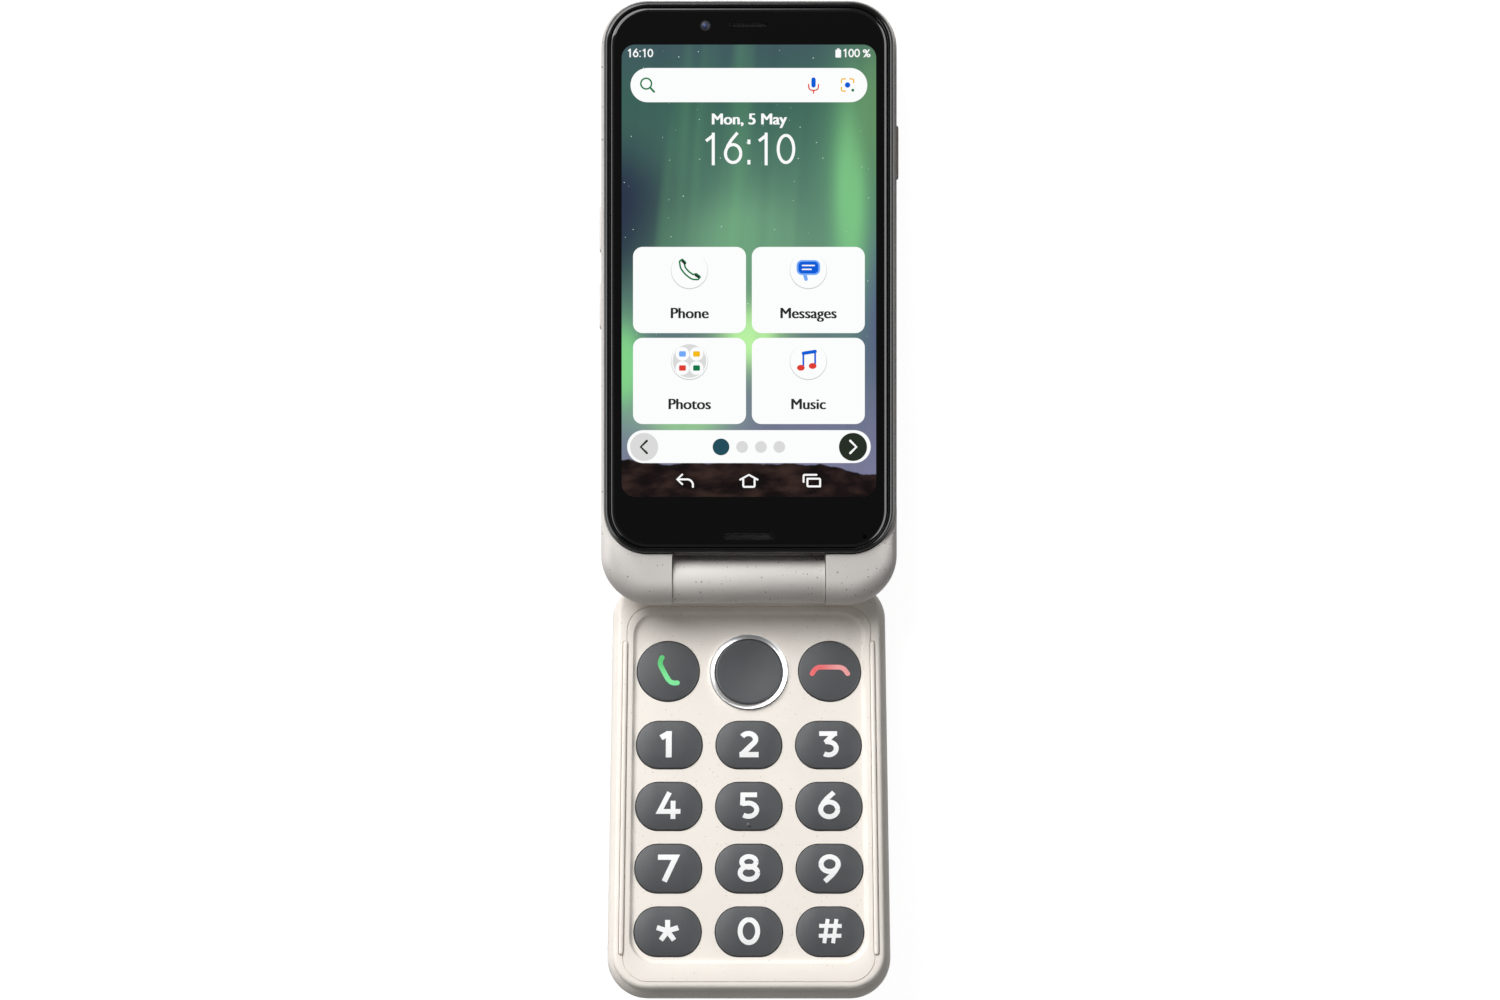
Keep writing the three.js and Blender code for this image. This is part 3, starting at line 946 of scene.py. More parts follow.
class Workshop:
    """Places finished solids and keeps each material that has been made."""

    SHARP = math.radians(38)

    def __init__(self) -> None:
        """Starts with no materials."""
        self.materials: dict[str, bpy.types.Material] = {}

    def material(self, finish: object) -> bpy.types.Material:
        """Gives the material of a finish, and makes it the first time.

        Args:
            finish: The finish.

        Returns:
            The material.
        """
        if finish.name not in self.materials:
            self.materials[finish.name] = finish.build()
        return self.materials[finish.name]

    def place(self, name: str, solid: Union[Solid, bpy.types.Mesh], finish: object, half: Half, slot: str,
              body: Optional[str] = None, replaces: Iterable[str] = (),
              smooth: bool = True) -> bpy.types.Object:
        """Makes a solid a finished piece.

        Args:
            name: The piece's name.
            solid: Its shape, in the half's own frame.
            finish: Its finish.
            half: The half that it belongs to.
            slot: The record's material slot. It is not used.
            body: The body that it rides on, if not the half's.
            replaces: The CAD nodes that it stands for.
            smooth: Whether its round faces are shaded smooth.

        Returns:
            The piece.
        """
        mesh = solid.mesh() if isinstance(solid, Solid) else solid
        mesh.name = name
        mesh.transform(half.matrix)
        self._shade(mesh, smooth)
        mesh.materials.clear()
        mesh.materials.append(self.material(finish))
        piece = bpy.data.objects.new(name, mesh)
        bpy.context.scene.collection.objects.link(piece)
        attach(piece, body or half.body)
        if replaces:
            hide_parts(*replaces)
        log.info("%s: %d faces on %s", name, len(mesh.polygons), body or half.body)
        return piece

    def _shade(self, mesh: bpy.types.Mesh, smooth: bool) -> None:
        """Shades faces smooth, apart from edges that are really sharp.

        Args:
            mesh: The mesh.
            smooth: Whether its faces are shaded smooth.
        """
        bm = bmesh.new()
        bm.from_mesh(mesh)
        for face in bm.faces:
            face.smooth = smooth
        for edge in bm.edges:
            edge.smooth = len(edge.link_faces) == 2 and edge.calc_face_angle(0) < self.SHARP
        bm.to_mesh(mesh)
        bm.free()

    def dress(self, node: str, finish: object) -> None:
        """Gives a CAD node its material.

        Args:
            node: The CAD node.
            finish: The finish that it gets.
        """
        mesh = frame["nodes"][node].data
        mesh.materials.clear()
        mesh.materials.append(self.material(finish))
        log.info("%s: dressed", node)


def lettering(text: str, height: float, centre: Point, low: float, thickness: float,
              align: str = "CENTER") -> bpy.types.Mesh:
    """Makes flat characters.

    Args:
        text: The characters.
        height: The height of a figure.
        centre: The middle of the text, or its start or end where align says so.
        low: The height that it stands on.
        thickness: Its own thickness.
        align: CENTER, LEFT or RIGHT.

    Returns:
        The mesh.
    """
    curve = bpy.data.curves.new("text", "FONT")
    curve.body = text
    curve.size = height / 0.729  # a figure's share of the font's size
    curve.resolution_u = 6
    curve.align_x = align
    curve.extrude = thickness / 2
    item = bpy.data.objects.new("text", curve)
    bpy.context.scene.collection.objects.link(item)
    bpy.context.view_layer.update()
    mesh = bpy.data.meshes.new_from_object(item.evaluated_get(bpy.context.evaluated_depsgraph_get()))
    bpy.data.objects.remove(item)
    lift = low + thickness / 2
    mesh.transform(Matrix.Translation((centre[0], centre[1] - height / 2, lift)))
    bm = bmesh.new()
    bm.from_mesh(mesh)
    bmesh.ops.remove_doubles(bm, verts=bm.verts[:], dist=1e-4)
    bm.to_mesh(mesh)
    bm.free()
    return mesh


def stroke(points: Sequence[Point], width: float, low: float, thickness: float,
           bend: float = 0.0, blunt: bool = False) -> Solid:
    """Makes a flat line of one width.

    Args:
        points: The line's corners.
        width: Its width.
        low: The height that it stands on.
        thickness: Its own thickness.
        bend: The radius of its corners.
        blunt: Whether its ends are cut square, not round. Its sharp corners are then mitred.

    Returns:
        The solid.
    """
    solid = Solid()
    bm = solid.bm
    path = [Vector(point) for point in points]
    if bend:
        path = rounded_path(path, bend)
    left, right = [], []
    for index, point in enumerate(path):
        before = path[max(index - 1, 0)]
        after = path[min(index + 1, len(path) - 1)]
        first = (point - before).normalized() if index else (after - point).normalized()
        second = (after - point).normalized() if point != after else first
        way = (first + second).normalized()
        mitre = max(way.dot(second), 0.35) if blunt else 1.0
        side = Vector((-way.y, way.x)) * width / 2 / mitre
        left.append(point + side)
        right.append(point - side)
    rails = [[bm.verts.new((*point, low)) for point in rail] for rail in (left, right)]
    faces = [bm.faces.new((one, two, four, three)) for one, two, three, four
             in zip(rails[1], rails[1][1:], rails[0], rails[0][1:])]
    if not blunt:
        caps = ((path[-1], rails[1][-1], rails[0][-1]), (path[0], rails[0][0], rails[1][0]))
        for middle, start, end in caps:
            turn = half_turn(middle, start.co.xy - middle)
            faces.append(bm.faces.new([start, *(bm.verts.new((*point, low)) for point in turn), end]))
    grown = bmesh.ops.extrude_face_region(bm, geom=faces)["geom"]
    moved = [item for item in grown if isinstance(item, bmesh.types.BMVert)]
    bmesh.ops.translate(bm, vec=(0, 0, thickness), verts=moved)
    return solid


def half_turn(centre: Vector, arm: Vector, steps: int = 8) -> list[Vector]:
    """Gives the points between the two ends of a half circle, anticlockwise from an arm."""
    return [centre + Matrix.Rotation(math.pi * step / steps, 2) @ arm for step in range(1, steps)]


def rounded_path(path: Sequence[Vector], radius: float, steps: int = 6) -> list[Vector]:
    """Rounds a path's corners with quadratic curves that start this far from each.

    Args:
        path: The corners.
        radius: How far from a corner its curve starts.
        steps: The steps round each corner.

    Returns:
        The path's points.
    """
    smooth = [path[0]]
    for before, corner, after in zip(path, path[1:], path[2:]):
        start = corner + (before - corner).normalized() * radius
        end = corner + (after - corner).normalized() * radius
        for step in range(steps + 1):
            share = step / steps
            smooth.append(start.lerp(corner, share).lerp(corner.lerp(end, share), share))
    return smooth + [path[-1]]


def arc(x: float, y: float, across: float, up: float, start: float, end: float) -> list[Point]:
    """Gives points along part of an ellipse, between two angles in degrees.

    Args:
        x, y: The ellipse's centre.
        across, up: Its half width and half height.
        start, end: The angles.

    Returns:
        The points.
    """
    count = max(3, int(abs(end - start) / 12))
    angles = [math.radians(start + (end - start) * step / count) for step in range(count + 1)]
    return [(x + across * math.cos(angle), y + up * math.sin(angle)) for angle in angles]


class Figure:
    """Figures and signs drawn as bold lines. Each is 6.2 high about its own middle."""

    HEIGHT = 6.2
    SIX = [arc(0, -0.86, 1.92, 1.68, 0, 360),
           [(1.1, 3.05), (-0.5, 1.6), (-1.3, 0.6), (-1.8, -0.35), (-1.92, -0.86)]]
    LINES = {
        "0": [arc(0, 0, 1.95, 2.55, 90, 450)],
        "1": [[(0.35, -3.05), (0.35, 3.05)], [(-1.45, 1.5), (0.3, 2.5)]],
        "2": [[*arc(-0.1, 1.15, 1.6, 1.35, 152, -38), (-1.62, -2.4)], [(-2.15, -2.42), (2.2, -2.42)]],
        "3": [[(-2.1, 2.48), (1.95, 2.48)], [(1.4, 2.6), (-0.75, 0.35)],
              [(-0.75, 0.6), *arc(0.0, -0.98, 1.75, 1.5, 85, -125)]],
        "4": [[(0.15, 3.05), (-2.05, -1.35), (2.65, -1.35)], [(0.98, 1.1), (0.98, -3.05)]],
        "5": [[(1.85, 2.48), (-1.35, 2.48), (-1.45, 0.05)],
              [(-1.5, 0.42), *arc(-0.1, -0.95, 1.85, 1.52, 98, -128)]],
        "6": SIX,
        "7": [[(-2.3, 2.42), (1.7, 2.42), (-0.85, -3.05)]],
        "8": [arc(0, 1.36, 1.6, 1.22, 0, 360), arc(0, -1.12, 1.95, 1.46, 0, 360)],
        "9": [[(-x, -y) for x, y in line] for line in SIX],
        "*": [[(0, 0), (2.5 * math.cos(math.radians(turn)), 2.5 * math.sin(math.radians(turn)))]
              for turn in range(90, 450, 72)],
        "#": [[(-1.35, -2.7), (-0.55, 2.7)], [(0.6, -2.7), (1.4, 2.7)], [(-2.45, 1.15), (2.55, 1.15)],
              [(-2.55, -1.05), (2.45, -1.05)]],
        ":": [[(0, 0.9), (0, 1.75)], [(0, -2.9), (0, -2.05)]],
    }

    @classmethod
    def drawn(cls, text: str, height: float, weight: float, centre: Point, low: float = 0.0,
              thickness: float = 0.03, narrow: float = 1.0) -> Solid:
        """Draws figures in a row.

        Args:
            text: The figures.
            height: Their height.
            weight: The width of their lines.
            centre: The row's middle.
            low: The height that they stand on.
            thickness: Their own thickness.
            narrow: How far their widths are shrunk.

        Returns:
            The solid. Each line lies a hair higher than the last, so that no two faces coincide.
        """
        scale = height / cls.HEIGHT
        widths = [(2.6 if sign == ":" else 5.3) * narrow for sign in text]
        x = centre[0] - sum(widths) * scale / 2
        whole = Solid()
        for sign, width in zip(text, widths):
            for index, line in enumerate(cls.LINES[sign]):
                points = [(x + (a * narrow + width / 2) * scale, centre[1] + b * scale) for a, b in line]
                part = stroke(points, weight, low + index * 0.002, thickness, blunt=True)
                whole.bm.from_mesh(part.mesh())
            x += width * scale
        return whole


def upright(solid: Solid) -> Solid:
    """Turns a solid so that its own heights run back along Y and its own Y becomes Z."""
    return solid.turned(Matrix.Rotation(QUARTER, 4, "X"))


def sideways(solid: Solid, side: int) -> Solid:
    """Turns a solid so that its heights run along X, out of one side, and its own X and Y become Y and Z."""
    cycle = Matrix(((0, 0, side, 0), (1, 0, 0, 0), (0, 1, 0, 0), (0, 0, 0, 1)))
    return solid.turned(cycle)


def drape(mesh: bpy.types.Mesh, surface: BVHTree, lift: float = 0.015) -> bpy.types.Mesh:
    """Lays a flat print on a curved face.

    Args:
        mesh: The print, standing on height 0.
        surface: The face under it.
        lift: How far it stands off, so that it never dips in.

    Returns:
        The same mesh, cut fine enough to follow the face.
    """
    pitch = 0.6
    bm = bmesh.new()
    bm.from_mesh(mesh)
    for axis in (0, 1):
        normal = Vector((axis == 0, axis == 1, 0))
        spots = [vertex.co[axis] for vertex in bm.verts]
        count = int((max(spots) - min(spots)) / pitch)
        for index in range(1, count + 1):
            place = normal * (min(spots) + index * pitch)
            bmesh.ops.bisect_plane(bm, geom=[*bm.verts, *bm.edges, *bm.faces], dist=1e-4, plane_co=place,
                                   plane_no=normal)
    bmesh.ops.triangulate(bm, faces=bm.faces[:])
    for vertex in bm.verts:
        above = Vector((vertex.co.x, vertex.co.y, 0))
        hit = surface.ray_cast(above, Vector((0, 0, -1)))[0]
        if hit is not None:
            vertex.co.z += hit.z + lift
    bm.to_mesh(mesh)
    bm.free()
    return mesh


# ------------------------------------------------------------------------------------------ finish list


@dataclass
class Assembly:
    """Pieces that are made together, in one half's own frame."""

    half: ClassVar[Half]
    shop: Workshop

    def add(self, name: str, solid: Union[Solid, bpy.types.Mesh], finish: object, slot: str, *replaces: str,
            body: Optional[str] = None, smooth: bool = True) -> None:
        """Places a piece on the half, as Workshop.place does.

        Args:
            name: The piece's name.
            solid: Its shape.
            finish: Its finish.
            slot: The record's material slot, passed on to Workshop.place.
            replaces: The CAD nodes that it stands for.
            body: The body that it moves with, where that isn't the half.
            smooth: Whether its faces are shaded smooth.
        """
        self.shop.place(name, solid, finish, self.half, slot, body, replaces, smooth)

    def box(self, node: str) -> tuple[Vector, Vector]:
        """Measures a CAD node, as Half.box does."""
        return self.half.box(node)

    def middle(self, node: str) -> Point:
        """Gives a CAD node's middle in X and Y."""
        low, high = self.box(node)
        return (low.x + high.x) / 2, (low.y + high.y) / 2


class Finishes:
    """The finishes that the pieces share."""

    LID = Stone("stone_lid", srgb(227, 222, 217), Half.SCREEN, speckled=0.66)
    # The keypad half's stone is painted lighter than the lid's: painted light, for the keypad face that tilts
    # towards the lamp.
    BASE = Stone("stone_base_painted_light", srgb(247, 240, 231), Half.KEYPAD)
    BARREL = Stone("stone_barrel", srgb(227, 222, 217), Half.KEYPAD, speckled=0.66)
    TAUPE = Stone("taupe_key", srgb(122, 112, 106), Half.SCREEN, srgb(70, 64, 60))
    BLACK = Gloss("black_frame", (0.006, 0.006, 0.006), 0.12, 0.0, 0.0005)
    GLASS = Gloss("cover_glass", (0.0055, 0.0055, 0.006), 0.03, 0.0, 0.0005)
    LENS = Gloss("lens_glass", (0.004, 0.006, 0.014), 0.02, 1.0, 0.0005)
    KEY = KeyPlastic("key_plastic", srgb(72, 74, 77))
    CHROME = Metal("nav_ring_metal", (0.93, 0.93, 0.94), 0.3, 0.04, (0.2, 0.2, 0.2))
    STEEL = Metal("plain_steel", (0.46, 0.47, 0.48), 0.32, 0.12)
    BRASS = Metal("contact_metal", (0.72, 0.52, 0.22), 0.3, 0.1)
    BOARD = Board("solder_mask", srgb(30, 82, 52))
    WRAP = KeyPlastic("battery_wrap", srgb(52, 54, 58), 0.5)
    RUBBER = KeyPlastic("silicone_rubber", srgb(178, 178, 172), 0.65)
    FILM = Gloss("amber_film", (0.42, 0.3, 0.1), 0.25, 0.3, 0.004)


# ------------------------------------------------------------------------------------------ screen half


@dataclass
class ScreenHalf(Assembly):
    """The tall half: shell, frame, glass, side keys, and what shows on its back."""

    half: ClassVar[Half] = Half.SCREEN
    side_edge: float = 3.0
    back: float = -5.495
    seat: float = 2.0
    front: float = 6.5
    wall: float = 1.3
    slit: float = 0.2
    chin_slope: Point = (8.0, 17.0)
    frame_edge: Point = (1.1, 1.45)
    glass_edge: Point = (1.35, 0.6)
    corners: int = 16

    def __post_init__(self) -> None:
        """Takes the outlines from the CAD nodes."""
        low, high = self.box("rear_shell")
        self.shell_shape = Outline(high.x, low.y, high.y, 11.0, 10.5)
        self.nose = -low.y - 0.1
        low, high = self.box("front_frame")
        self.frame_shape = Outline(high.x, low.y, high.y, 9.8)
        low, high = self.box("cover_glass")
        self.glass_shape = Outline(high.x, low.y, high.y, 8.4)
        low, high = self.box("battery_cover")
        self.cover_shape = Outline(high.x, low.y, high.y, 2.8)
        low, high = self.box("camera_window")
        self.window_shape = Outline(high.x, low.y, high.y, high.x - 0.01)

    def build(self) -> None:
        """Makes every piece of the half."""
        self.shell()
        self.front_frame()
        self.glass()
        self.battery_cover()
        self.rear_camera()
        self.front_camera()
        self.side_keys()
        self.socket()
        self.grilles()

    def pillow(self) -> Solid:
        """Makes the shell's outer form, with a fully round nose along the hinge and softer sides.

        Returns:
            The form.
        """
        shape = self.shell_shape
        inner = shape.points(self.corners)
        outer = shape.grown(0.01).points(self.corners)
        normals = [(b - a) / 0.01 for a, b in zip(inner, outer)]
        reach = []
        for normal in normals:
            share = max(0.0, -normal.y)
            reach.append(self.side_edge + (self.nose - self.side_edge) * share * share * (3 - 2 * share))
        steps = 9
        solid = Solid()
        rings = []
        for side in (-1, 1):
            for step in range(steps + 1):
                angle = QUARTER * (step / steps + (side - 1) / 2)
                ring = []
                for point, normal, radius in zip(inner, normals, reach):
                    place = point - normal * radius * (1 - math.cos(angle))
                    ring.append((*place, -side * (self.back + radius) + radius * math.sin(angle)))
                rings.append(ring)
        bm = solid.bm
        loops = []
        for ring in rings:
            verts = [bm.verts.new(point) for point in ring]
            loops.append([bm.edges.new(pair) for pair in zip(verts, verts[1:] + verts[:1])])
        for before, after in zip(loops, loops[1:]):
            bmesh.ops.bridge_loops(bm, edges=before + after)
        for loop in (loops[0], loops[-1]):
            bmesh.ops.contextual_create(bm, geom=loop)
        return solid

    def shell(self) -> None:
        """Makes the back shell, with its chin, hinge ears and openings."""
        shape = self.shell_shape
        far = shape.high
        width = shape.half_width
        seat_top = 9.0
        start, end = self.chin_slope
        slope = extruded([(start, -self.back), (end, self.seat), (far + 2, self.seat), (far + 2, seat_top),
                          (start, seat_top)], -width - 2, width + 2)
        nest = slab(self.frame_shape.grown(0.12), self.seat, seat_top, segments=self.corners)
        cavity = Outline(width - self.wall, 7.2, far - self.wall, 8.0)
        ear_gap = 17.0
        pocket = slab(self.cover_shape.grown(self.slit), self.back - 1, self.back + 1.4, segments=6)
        cutters = [
            slope,
            nest,
            slab(cavity, self.back + 1.2, seat_top),
            Solid().block((-ear_gap, -20, -20), (ear_gap, 1.2, 20)),
            Solid().block((-ear_gap, 0.0, -0.4), (ear_gap, 6.4, 20)),
            rod(5.36, -ear_gap, ear_gap, 0.01, 48),
            pocket,
            slab(self.window_shape.grown(self.slit), self.back - 1, self.back + 2, segments=12),
            upright(slab(self.port_shape(self.slit), -far - 1, -far + 4, segments=6)),
        ]
        for node, side in self.keys():
            cutters.append(sideways(slab(self.key_shape(node).grown(0.12), width - 2.5, width + 2), side))
        for side in (-1, 1):
            bore = rod(2.05, ear_gap - 1, 24.3, 0.01, 32)
            cutters.append(bore.turned(Matrix.Scale(side, 4, (1, 0, 0))))
        shell = self.pillow().cut(*cutters)
        self.add("screen_shell", shell, Finishes.LID, "stone_plastic", "rear_shell")

    def port_shape(self, margin: float) -> Outline:
        """Gives the charging socket's outline, with Z as its own Y."""
        low, high = self.box("usb_port")
        return Outline(high.x, low.z, high.z, 1.2).grown(margin)

    @staticmethod
    def keys() -> list[tuple[str, int]]:
        """Lists the side keys with the side that each is on."""
        return [("volume_up_key", -1), ("volume_down_key", -1), ("power_key", 1)]

    def key_shape(self, node: str) -> Outline:
        """Gives a side key's outline, with Y and Z as its own X and Y.

        Args:
            node: The key's CAD node.

        Returns:
            The outline.
        """
        flange = 0.6
        low, high = self.box(node)
        middle = (low.y + high.y) / 2
        corner = (high.z - low.z) / 2 - flange - 0.02
        return Outline((high.y - low.y) / 2 - flange, low.z + flange, high.z - flange, corner, None, middle)

    def front_frame(self) -> None:
        """Makes the gloss black frame, rounded over towards the glass."""
        shape = self.frame_shape
        across, down = self.frame_edge
        top = self.front - 0.12
        rings = [(shape.grown(-0.1), self.seat + 0.3), (shape, self.seat + 0.4)]
        rings += rounding(shape, top, across, down, 8)
        lip = self.glass_shape.grown(0.08)
        ledge = Outline(29.4, 7.9, 125.4, 6.9)
        rings += [(lip.grown(0.05), top), (lip, top - 0.05), (lip, self.front - 1.3),
                  (ledge, self.front - 1.35), (ledge, self.seat + 0.3)]
        ring = Solid().stack(rings, self.corners, hollow=True)
        self.add("screen_frame", ring, Finishes.BLACK, "black_gloss", "front_frame")

    def glass(self) -> None:
        """Makes the cover glass, with its sound openings and microphone hole."""
        ear_low, ear_high = self.box("earpiece_mesh")
        chin_low, chin_high = self.box("chin_mesh")
        upper = rounding(self.glass_shape, self.front, *self.glass_edge, 8)
        sheet = Solid().stack([(self.glass_shape, self.front - 1.1), *upper], self.corners)
        cutters = []
        for low, high in ((ear_low, ear_high), (chin_low, chin_high)):
            slot = Outline(high.x, low.y, high.y, 0.3).grown(0.2)
            cutters.append(slab(slot, self.front - 2, self.front + 1, segments=6))
        microphone = 0.45
        middle = (chin_low.y + chin_high.y) / 2
        cutters.append(slab(disc(25.5, middle, microphone), self.front - 2, self.front + 1, segments=6))
        self.add("cover_glass_sheet", sheet.cut(*cutters), Finishes.GLASS, "cover_glass", "cover_glass")

    def battery_cover(self) -> None:
        """Makes the cover over the battery, with a nail notch."""
        shape = self.cover_shape
        plate = slab(shape, -self.back - 1.0, -self.back, 0.25, 8).turned(Matrix.Rotation(math.pi, 4, "Y"))
        notch = slab(Oval(0, shape.low, 6.0, 2.2, 3.0), -self.back - 0.6, -self.back + 1, segments=10)
        notch.turned(Matrix.Rotation(math.pi, 4, "Y"))
        self.add("battery_cover_plate", plate.cut(notch), Finishes.LID, "stone_plastic", "battery_cover")

    def rear_camera(self) -> None:
        """Makes the window, lens ring, lens and flash on the back."""
        lens_low, lens_high = self.box("rear_camera")
        lamp_low, lamp_high = self.box("flash_lamp")
        lens_y = (lens_low.y + lens_high.y) / 2
        lamp_y = (lamp_low.y + lamp_high.y) / 2
        flip = Matrix.Rotation(math.pi, 4, "Y")
        face = -self.back
        window = slab(self.window_shape, face - 0.8, face - 0.1, 0.15, 16).turned(flip)
        self.add("camera_window_glass", window, Finishes.GLASS, "cover_glass", "camera_window")
        ring = Solid().spun([(3.0, face - 0.12), (4.1, face - 0.12), (4.1, face - 0.05), (3.9, face),
                             (3.5, face), (3.0, face - 0.08)], (0, lens_y)).turned(flip)
        self.add("camera_ring", ring, Finishes.STEEL, "steel")
        lens = Solid().spun([(0, face - 0.11), (2.9, face - 0.11), (2.6, face - 0.06), (1.4, face - 0.02),
                             (0, face)], (0, lens_y)).turned(flip)
        self.add("camera_lens", lens, Finishes.LENS, "cover_glass")
        lamp = slab(disc(0, lamp_y, 1.5), face - 0.11, face - 0.02, 0.05, 10).turned(flip)
        self.add("flash_cover", lamp, Print("flash_lens", srgb(240, 226, 170)), "clear_film")

    def front_camera(self) -> None:
        """Makes the small camera beside the earpiece."""
        low, high = self.box("front_camera")
        centre = ((low.x + high.x) / 2, (low.y + high.y) / 2)
        face = self.front
        profile = [(0.85, face - 0.02), (1.15, face - 0.02), (1.15, face + 0.01), (0.85, face + 0.01)]
        ring = Solid().spun(profile, centre, 48)
        self.add("front_camera_ring", ring, Print("camera_surround", srgb(16, 16, 20)), "cover_glass")
        profile = [(0, face - 0.02), (0.85, face - 0.02), (0.8, face + 0.01), (0, face + 0.05)]
        lens = Solid().spun(profile, centre, 48)
        self.add("front_camera_lens", lens, Print("camera_iris", srgb(22, 28, 58)), "cover_glass")
        # A small pale blue disc, set off centre on the lens, is a painted glint: painted reflection on the lens
        # glass.
        glint = slab(disc(centre[0] - 0.15, centre[1] + 0.1, 0.3), face + 0.02, face + 0.06, segments=6)
        self.add("front_camera_painted_glint", glint, Print("camera_painted_glint", srgb(70, 92, 150)), "cover_glass")

    def side_keys(self) -> None:
        """Makes the volume and power keys."""
        for node, side in self.keys():
            low, high = self.box(node)
            reach = max(abs(low.x), abs(high.x))
            cap = sideways(slab(self.key_shape(node), reach - 2.2, reach, 0.35, 10, 4), side)
            finish = Finishes.TAUPE if node == "power_key" else Finishes.LID
            slot = "taupe_plastic" if node == "power_key" else "stone_plastic"
            self.add(f"{node}_cap", cap, finish, slot, node, body=node)

    def socket(self) -> None:
        """Makes the charging socket's rolled steel shell and its tongue."""
        low, high = self.box("usb_port")
        outer = self.port_shape(0)
        shell = upright(slab(outer, -high.y, -low.y, segments=6))
        mouth = upright(slab(outer.grown(-0.3), -high.y - 1, -low.y - 0.6, segments=6))
        self.add("socket_shell", shell.cut(mouth), Finishes.STEEL, "steel", "usb_port")
        middle = (low.z + high.z) / 2
        tongue = Solid().block((-3.3, low.y + 0.7, middle - 0.33), (3.3, high.y - 1.2, middle + 0.33), 0.12)
        self.add("socket_tongue", tongue, Finishes.WRAP, "battery_wrap")
        contacts = Solid()
        for index in range(-5, 6):
            contacts.block((index * 0.5 - 0.12, high.y - 4, middle + 0.31),
                           (index * 0.5 + 0.12, high.y - 1.6, middle + 0.37))
        self.add("socket_contacts", contacts, Finishes.BRASS, "steel")

    def grilles(self) -> None:
        """Makes the woven meshes in the earpiece's and the chin's slots."""
        for node in ("earpiece_mesh", "chin_mesh"):
            low, high = self.box(node)
            mesh = slab(Outline(high.x, low.y, high.y, 0.3), low.z, high.z, 0.1, 6)
            self.add(f"{node}_weave", mesh, Grille(f"{node}_wire", Half.SCREEN), "black_gloss", node)


# ---------------------------------------------------------------------------------------------- picture


